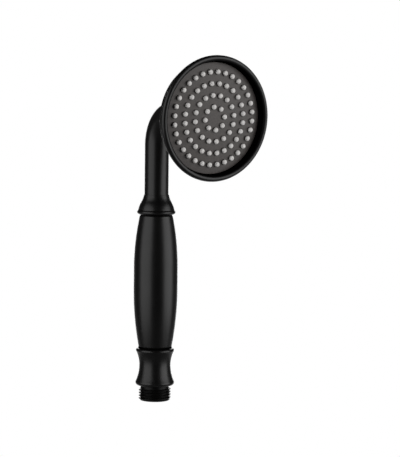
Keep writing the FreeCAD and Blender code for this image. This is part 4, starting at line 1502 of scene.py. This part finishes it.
@dataclass
class Inlet:
    """Waisted collar, threaded connector, and the strainer in its mouth."""

    around: int = 192
    fit: float = 0.05
    # The thread, and the shape of its flanks: a sine's slant, its steepness and its clipping.
    thread: float = 10.478
    pitch: float = 1.814
    depth: float = 1.162
    slant: float = 0.985
    steepness: float = 1.5
    clipping: float = 6.0
    chamfer: float = 1.1
    thread_length: float = 7.7
    runout: float = 0.4
    fine_margin: float = 0.2
    fine_step: float = 0.11
    # The rest of the connector, from its mouth upwards.
    relief: float = 9.25
    mouth: float = 8.0
    mouth_depth: float = 4.6
    bore: float = 7.6
    bore_end: float = 10.8
    stop: float = 5.8
    stop_end: float = 12.0
    spigot: float = 8.8
    cartridge: float = 7.2
    # The collar: radii, arcs, and heights of its parts.
    washer: float = 1.5
    waterway: float = 6.35
    foot_edge: float = 11.3
    foot_arc: float = 1.9
    foot_top: float = 12.45
    foot_rise: float = 2.7
    waist: float = 10.2
    waist_rise: float = 13.2
    bead_foot: float = 12.12
    bead_arc: float = 1.4
    bead_rise: float = 2.35
    collar_neck: float = 11.05
    neck_rise: float = 0.65
    # The strainer: a ring, and wires woven at even steps, whose ends are tucked into it.
    strainer_ring: float = 1.0
    wire: float = 0.09
    wire_sides: int = 6
    weave: float = 0.48
    weave_steps: int = 8
    tuck: float = 0.3
    foot: float = field(default_factory=lambda: bottom_of("lower_collar"))
    collar_top: float = field(default_factory=lambda: top_of("lower_collar"))
    connector_top: float = field(default_factory=lambda: top_of("inlet_connector"))

    def collar(self) -> Shape:
        """Turn the collar: rounded foot, two flares that meet at the waist, and a bead on top.

        Returns:
            The collar.
        """
        inner, core, seat = self.spigot + self.fit, self.waterway, self.connector_top + self.washer
        foot_top = self.foot + self.foot_rise
        waist = self.foot + self.waist_rise
        bead_top = self.collar_top - self.neck_rise
        bead_foot = bead_top - self.bead_rise
        lower_flare = -tangent_bend(waist - foot_top, self.foot_top - self.waist)
        upper_flare = -tangent_bend(bead_foot - waist, self.bead_foot - self.waist)
        return turned(Outline((
            Corner(inner, self.foot), Corner(self.foot_edge, self.foot, self.foot_arc),
            Corner(self.foot_top, foot_top, lower_flare), Corner(self.waist, waist, upper_flare),
            Corner(self.bead_foot, bead_foot, self.bead_arc), Corner(self.collar_neck, bead_top),
            Corner(self.collar_neck, self.collar_top), Corner(core, self.collar_top),
            Corner(core, seat), Corner(inner, seat),
        ), rounding=0.13))

    def thread_drop(self, angle: Array, height: Array) -> Array:
        """How far the thread's flanks lie below its crest.

        A triangle wave of (height / pitch - angle / turn) is steepened and softly clipped, which
        gives straight flanks with rounded crests and roots.

        Args:
            angle: Angle about the axis.
            height: Height above the end face.

        Returns:
            Depth below the crest.
        """
        wave = np.arcsin(self.slant * np.cos(TAU * height / self.pitch - angle))
        steep = self.steepness * wave / math.asin(self.slant)
        clipped = steep / (1.0 + np.abs(steep) ** self.clipping) ** (1.0 / self.clipping)
        return self.depth * (1.0 - clipped) / 2.0

    def connector(self) -> Shape:
        """Turn the connector, then press its outer wall in along the thread.

        The groove is less deep than the relief, so no other wall is touched.

        Returns:
            The connector.
        """
        thread_end, top = self.thread_length + self.runout, self.connector_top
        section = Outline((
            Corner(self.mouth, 0.0), Corner(self.thread - self.chamfer, 0.0),
            Corner(self.thread, self.chamfer), Corner(self.thread, self.thread_length),
            Corner(self.relief, thread_end), Corner(self.relief, self.foot),
            Corner(self.spigot, self.foot), Corner(self.spigot, top), Corner(self.cartridge, top),
            Corner(self.cartridge, self.stop_end), Corner(self.stop, self.stop_end),
            Corner(self.stop, self.bore_end), Corner(self.bore, self.bore_end),
            Corner(self.bore, self.mouth_depth), Corner(self.mouth, self.mouth_depth),
        ), rounding=0.07, fine_below=thread_end + self.fine_margin, fine_step=self.fine_step)
        rows, _ = section.rows()
        angle = TAU * np.arange(self.around) / self.around
        height = np.broadcast_to(rows.imag[:, None], (len(rows), self.around))
        grooved = self.thread - self.thread_drop(angle[None], height)
        radius = np.minimum(rows.real[:, None], grooved)
        points = np.stack([radius * np.cos(angle), radius * np.sin(angle), height], -1)
        around_step = np.roll(points, -1, axis=1) - np.roll(points, 1, axis=1)
        row_step = np.roll(points, -1, axis=0) - np.roll(points, 1, axis=0)
        return Shape.from_grid(points, unit(np.cross(around_step, row_step)))

    def wires(self, heading: int, reach: float, level: float) -> Iterator[Shape]:
        """Weave the wires of one heading: straight in plan, waving over and under the others.

        Height is level + wire radius times cos(pi place / weave), with the sign changing from
        one wire to the next.

        Args:
            heading: 0 for wires along X, 1 for wires along Y.
            reach: Radius of the woven disc.
            level: Its middle height.

        Yields:
            One wire at a time.
        """
        count = int(reach / self.weave)
        for number in range(-count, count + 1):
            offset = number * self.weave
            half = math.sqrt(max(reach * reach - offset * offset, 0.0))
            if half < self.weave:
                continue
            steps = self.weave_steps
            run = np.linspace(-half, half, max(steps, int(half / self.weave * steps)))
            side = -1.0 if (number + heading) % 2 else 1.0
            rise = level + side * self.wire * np.cos(math.pi * run / self.weave)
            flat = [run, np.full_like(run, offset)]
            path = np.stack([flat[heading], flat[1 - heading], rise], -1)
            yield tube_along(path, self.wire, self.wire_sides)

    def strainer(self) -> Shape:
        """Mould the ring and set a woven wire disc into it.

        Returns:
            The strainer.
        """
        low, high = bottom_of("strainer_screen"), top_of("strainer_screen")
        outer = self.bore - self.fit
        inner = outer - self.strainer_ring
        ring = turned(Outline(channel(inner, outer, low, high), rounding=0.08), self.around)
        reach, level = inner + self.tuck, (low + high) / 2.0
        return Shape.joined([ring, *self.wires(0, reach, level), *self.wires(1, reach, level)])

    def build(self) -> None:
        """Make the collar, the connector and the strainer, and finish what is behind them."""
        # Painted shade: the collar's neck above the bead gets a darker, dead matt coat for the
        # shade under the grip.
        neck_painted_shade = PaintedShadeCoat(
            "collar_neck_painted_shade_coat", BLACK, edge=2.0 * self.foot_top,
            above=self.collar_top - self.neck_rise + self.fit,
        )
        thin = SatinCoat("thin_black_coat", BLACK, roughness=0.4, shine=0.1)
        for name, shape, slot, node, finish in (
            ("waisted_collar", self.collar(), Slot.METAL, "lower_collar", neck_painted_shade),
            ("threaded_inlet", self.connector(), Slot.METAL, "inlet_connector", thin),
            ("woven_strainer", self.strainer(), Slot.STEEL, "strainer_screen", None),
        ):
            add_piece(name, shape, slot, node, finish)
        dress_nodes(Slot.RUBBER, "connector_washer", "regulator_ring")
        dress_nodes(Slot.PLASTIC, "flow_regulator")


@dataclass
class Valve:
    """Non-return valve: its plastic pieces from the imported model, and a coiled spring."""

    coil: float = 3.1
    wire: float = 0.28
    wire_sides: int = 12
    turn_steps: int = 40
    turns: float = 5.0
    dead_turns: float = 0.9
    gap: float = 0.02
    lift: float = 2.5
    foot: float = 15.5
    head: float = 24.0

    def spring(self) -> Shape:
        """Coil the spring: a helix whose end turns lie against each other.

        Height climbs by the wire's thickness to a turn in the end turns, and shares out what is
        left evenly over the turns between them.

        Returns:
            The spring.
        """
        total = self.turns + 2.0 * self.dead_turns
        turn = np.linspace(0.0, total, int(total * self.turn_steps))
        live = np.clip((turn - self.dead_turns) / self.turns, 0.0, 1.0)
        low = self.foot + self.wire + self.gap
        high = self.head - self.wire - self.gap
        past_live = np.maximum(turn - total + self.dead_turns, 0.0)
        closing = self.wire * 2.0 * (np.minimum(turn, self.dead_turns) + past_live)
        height = low + closing + (high - low - closing[-1]) * live
        angle = TAU * turn
        path = np.stack([self.coil * np.cos(angle), self.coil * np.sin(angle), height], -1)
        return tube_along(path, self.wire, self.wire_sides)

    def build(self) -> None:
        """Make the spring, and finish the other pieces."""
        spring = add_piece("coil_spring", self.spring(), Slot.STEEL, "valve_spring")
        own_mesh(spring)
        dress_nodes(Slot.PLASTIC, "valve_body", "valve_guide", "valve_poppet")
        dress_nodes(Slot.RUBBER, "valve_seal", "poppet_seal")


# ---------------------------------------------------------------------------------------------
# Studio
# ---------------------------------------------------------------------------------------------


def from_compass(azimuth: float, elevation: float) -> Vector:
    """Unit vector at an azimuth, counted from +X towards +Y, and an elevation."""
    a, e = math.radians(azimuth), math.radians(elevation)
    return Vector((math.cos(e) * math.cos(a), math.cos(e) * math.sin(a), math.sin(e)))


@dataclass(frozen=True)
class Softbox:
    """A rectangular lamp that looks at the object from a compass direction."""

    name: str
    azimuth: float
    elevation: float
    distance: float
    width: float
    height: float
    power: float

    def place(self, target: Vector) -> None:
        """Hang the lamp.

        Args:
            target: What it looks at.
        """
        lamp = bpy.data.lights.new(self.name, "AREA")
        lamp.shape = "RECTANGLE"
        lamp.size = self.width
        lamp.size_y = self.height
        lamp.energy = self.power
        outward = from_compass(self.azimuth, self.elevation)
        holder = add_object(self.name, lamp)
        holder.location = target + outward * self.distance
        holder.rotation_euler = (-outward).to_track_quat("-Z", "Y").to_euler()


@dataclass(frozen=True)
class Studio:
    """White room, three softboxes and the camera. Its sizes are in metres."""

    camera_place: Triple = (1.0963, -0.6982, 0.2285)
    camera_azimuth: float = -33.75
    camera_drop: float = 5.076
    camera_roll: float = 0.652
    camera_reach: float = 50.0
    lens: float = 157.79
    sensor: float = 36.0
    target: Triple = (0.02, 0.0, 0.12)
    floor_level: float = -0.72
    floor_side: float = 16.0
    floor_tone: float = 0.8
    floor_bounce: float = 0.22
    shadow_core: float = 0.3
    shadow_reach: float = 0.9
    shadow_white: float = 0.88
    ambient: float = 0.04
    sweep_azimuth: float = 146.0
    sweep_elevation: float = -38.0
    sweep_inner: float = 15.0
    sweep_outer: float = 80.0
    sweep_falloff: float = 4.5
    boxes: tuple[Softbox, ...] = (
        Softbox("right_softbox", 38.7, 6.0, distance=2.0, width=1.96, height=1.9, power=41.5),
        Softbox("left_softbox", -88.5, 7.0, distance=2.0, width=2.45, height=2.4, power=48.0),
        Softbox("rear_softbox", 146.0, 12.0, distance=2.2, width=1.2, height=2.0, power=30.0),
    )

    def camera(self) -> None:
        """Set up the camera by its place, azimuth, drop and roll."""
        data = bpy.data.cameras.new("camera")
        data.lens = self.lens
        data.sensor_width = self.sensor
        data.clip_end = self.camera_reach
        pitch = math.radians(90.0 - self.camera_drop)
        heading = math.radians(90.0 + self.camera_azimuth)
        aim = Euler((pitch, 0.0, heading)).to_matrix().to_4x4()
        roll = Matrix.Rotation(math.radians(self.camera_roll), 4, "Z")
        holder = add_object("camera", data)
        holder.matrix_world = Matrix.Translation(self.camera_place) @ aim @ roll
        bpy.context.scene.camera = holder

    def shown(self, graph: Graph, direction: Any) -> Term:
        """Find how white the surroundings look to a ray.

        The camera sees white everywhere. A mirrored or transmitted ray sees the white sweep
        behind the object: all of it inside the inner angle from its middle, fading to none at
        the outer one. The cosine of that angle is the direction times the sweep's own, and the
        fade is its share between the two cosines, to a power.

        Args:
            graph: The node tree of the floor's material or of the world.
            direction: The ray's unit direction.

        Returns:
            1 for white, 0 for the dim room.
        """
        ray = graph.node("ShaderNodeLightPath").outputs
        sweep = from_compass(self.sweep_azimuth, self.sweep_elevation)
        facing = graph.vector("DOT_PRODUCT", direction, sweep, output="Value")
        outer, inner = (math.cos(math.radians(a)) for a in (self.sweep_outer, self.sweep_inner))
        mirrored = graph.calculate("MAXIMUM", ray["Is Glossy Ray"], ray["Is Transmission Ray"])
        swept = mirrored * graph.ramp(facing, outer, inner) ** self.sweep_falloff
        return graph.calculate("MAXIMUM", ray["Is Camera Ray"], swept)

    def floor(self) -> None:
        """Lay a pale floor that looks white to the camera and still takes a soft shadow."""
        half = self.floor_side / 2.0
        mesh = bpy.data.meshes.new("floor")
        corners = [(-half, -half), (half, -half), (half, half), (-half, half)]
        mesh.from_pydata([(x, y, self.floor_level) for x, y in corners], [], [(0, 1, 2, 3)])
        floor = add_object("floor", mesh)
        graph = Graph(bpy.data.materials.new("pale_floor"))
        away = graph.vector("SUBTRACT", graph.place(), self.target)
        seen = self.shown(graph, graph.vector("NORMALIZE", away))
        spread = graph.vector("LENGTH", graph.place(), output="Value")
        fade = graph.ramp(spread, self.shadow_core, self.shadow_reach, self.shadow_white)
        tone = graph.blend(seen, (self.floor_bounce,) * 3, (self.floor_tone,) * 3)
        matt = graph.node("ShaderNodeBsdfDiffuse", Color=tone)
        glow = graph.node("ShaderNodeEmission", Color=WHITE, Strength=1.0)
        mix = graph.mixed(seen * fade, matt, glow)
        mesh.materials.append(graph.finish("ShaderNodeOutputMaterial", mix))

    def world(self) -> None:
        """Surround the object with white where it is shown, and a dim room for the rest."""
        graph = Graph(bpy.data.worlds.new("studio"))
        bpy.context.scene.world = graph.owner
        seen = self.shown(graph, graph.node("ShaderNodeTexCoord").outputs["Generated"])
        strength = seen * (1.0 - self.ambient) + self.ambient
        sky = graph.node("ShaderNodeBackground", Color=WHITE, Strength=strength)
        graph.finish("ShaderNodeOutputWorld", sky)

    def build(self) -> None:
        """Make the whole studio."""
        bpy.context.scene.view_settings.view_transform = "Standard"
        self.camera()
        self.floor()
        self.world()
        for box in self.boxes:
            box.place(Vector(self.target))


def main() -> None:
    """Build the studio and every sub-assembly, in order."""
    Studio().build()
    neck = Neck()
    neck.build()
    Head(*neck.head_frame()).build()
    Grip().build()
    Inlet().build()
    Valve().build()


if __name__ == "__main__":
    main()
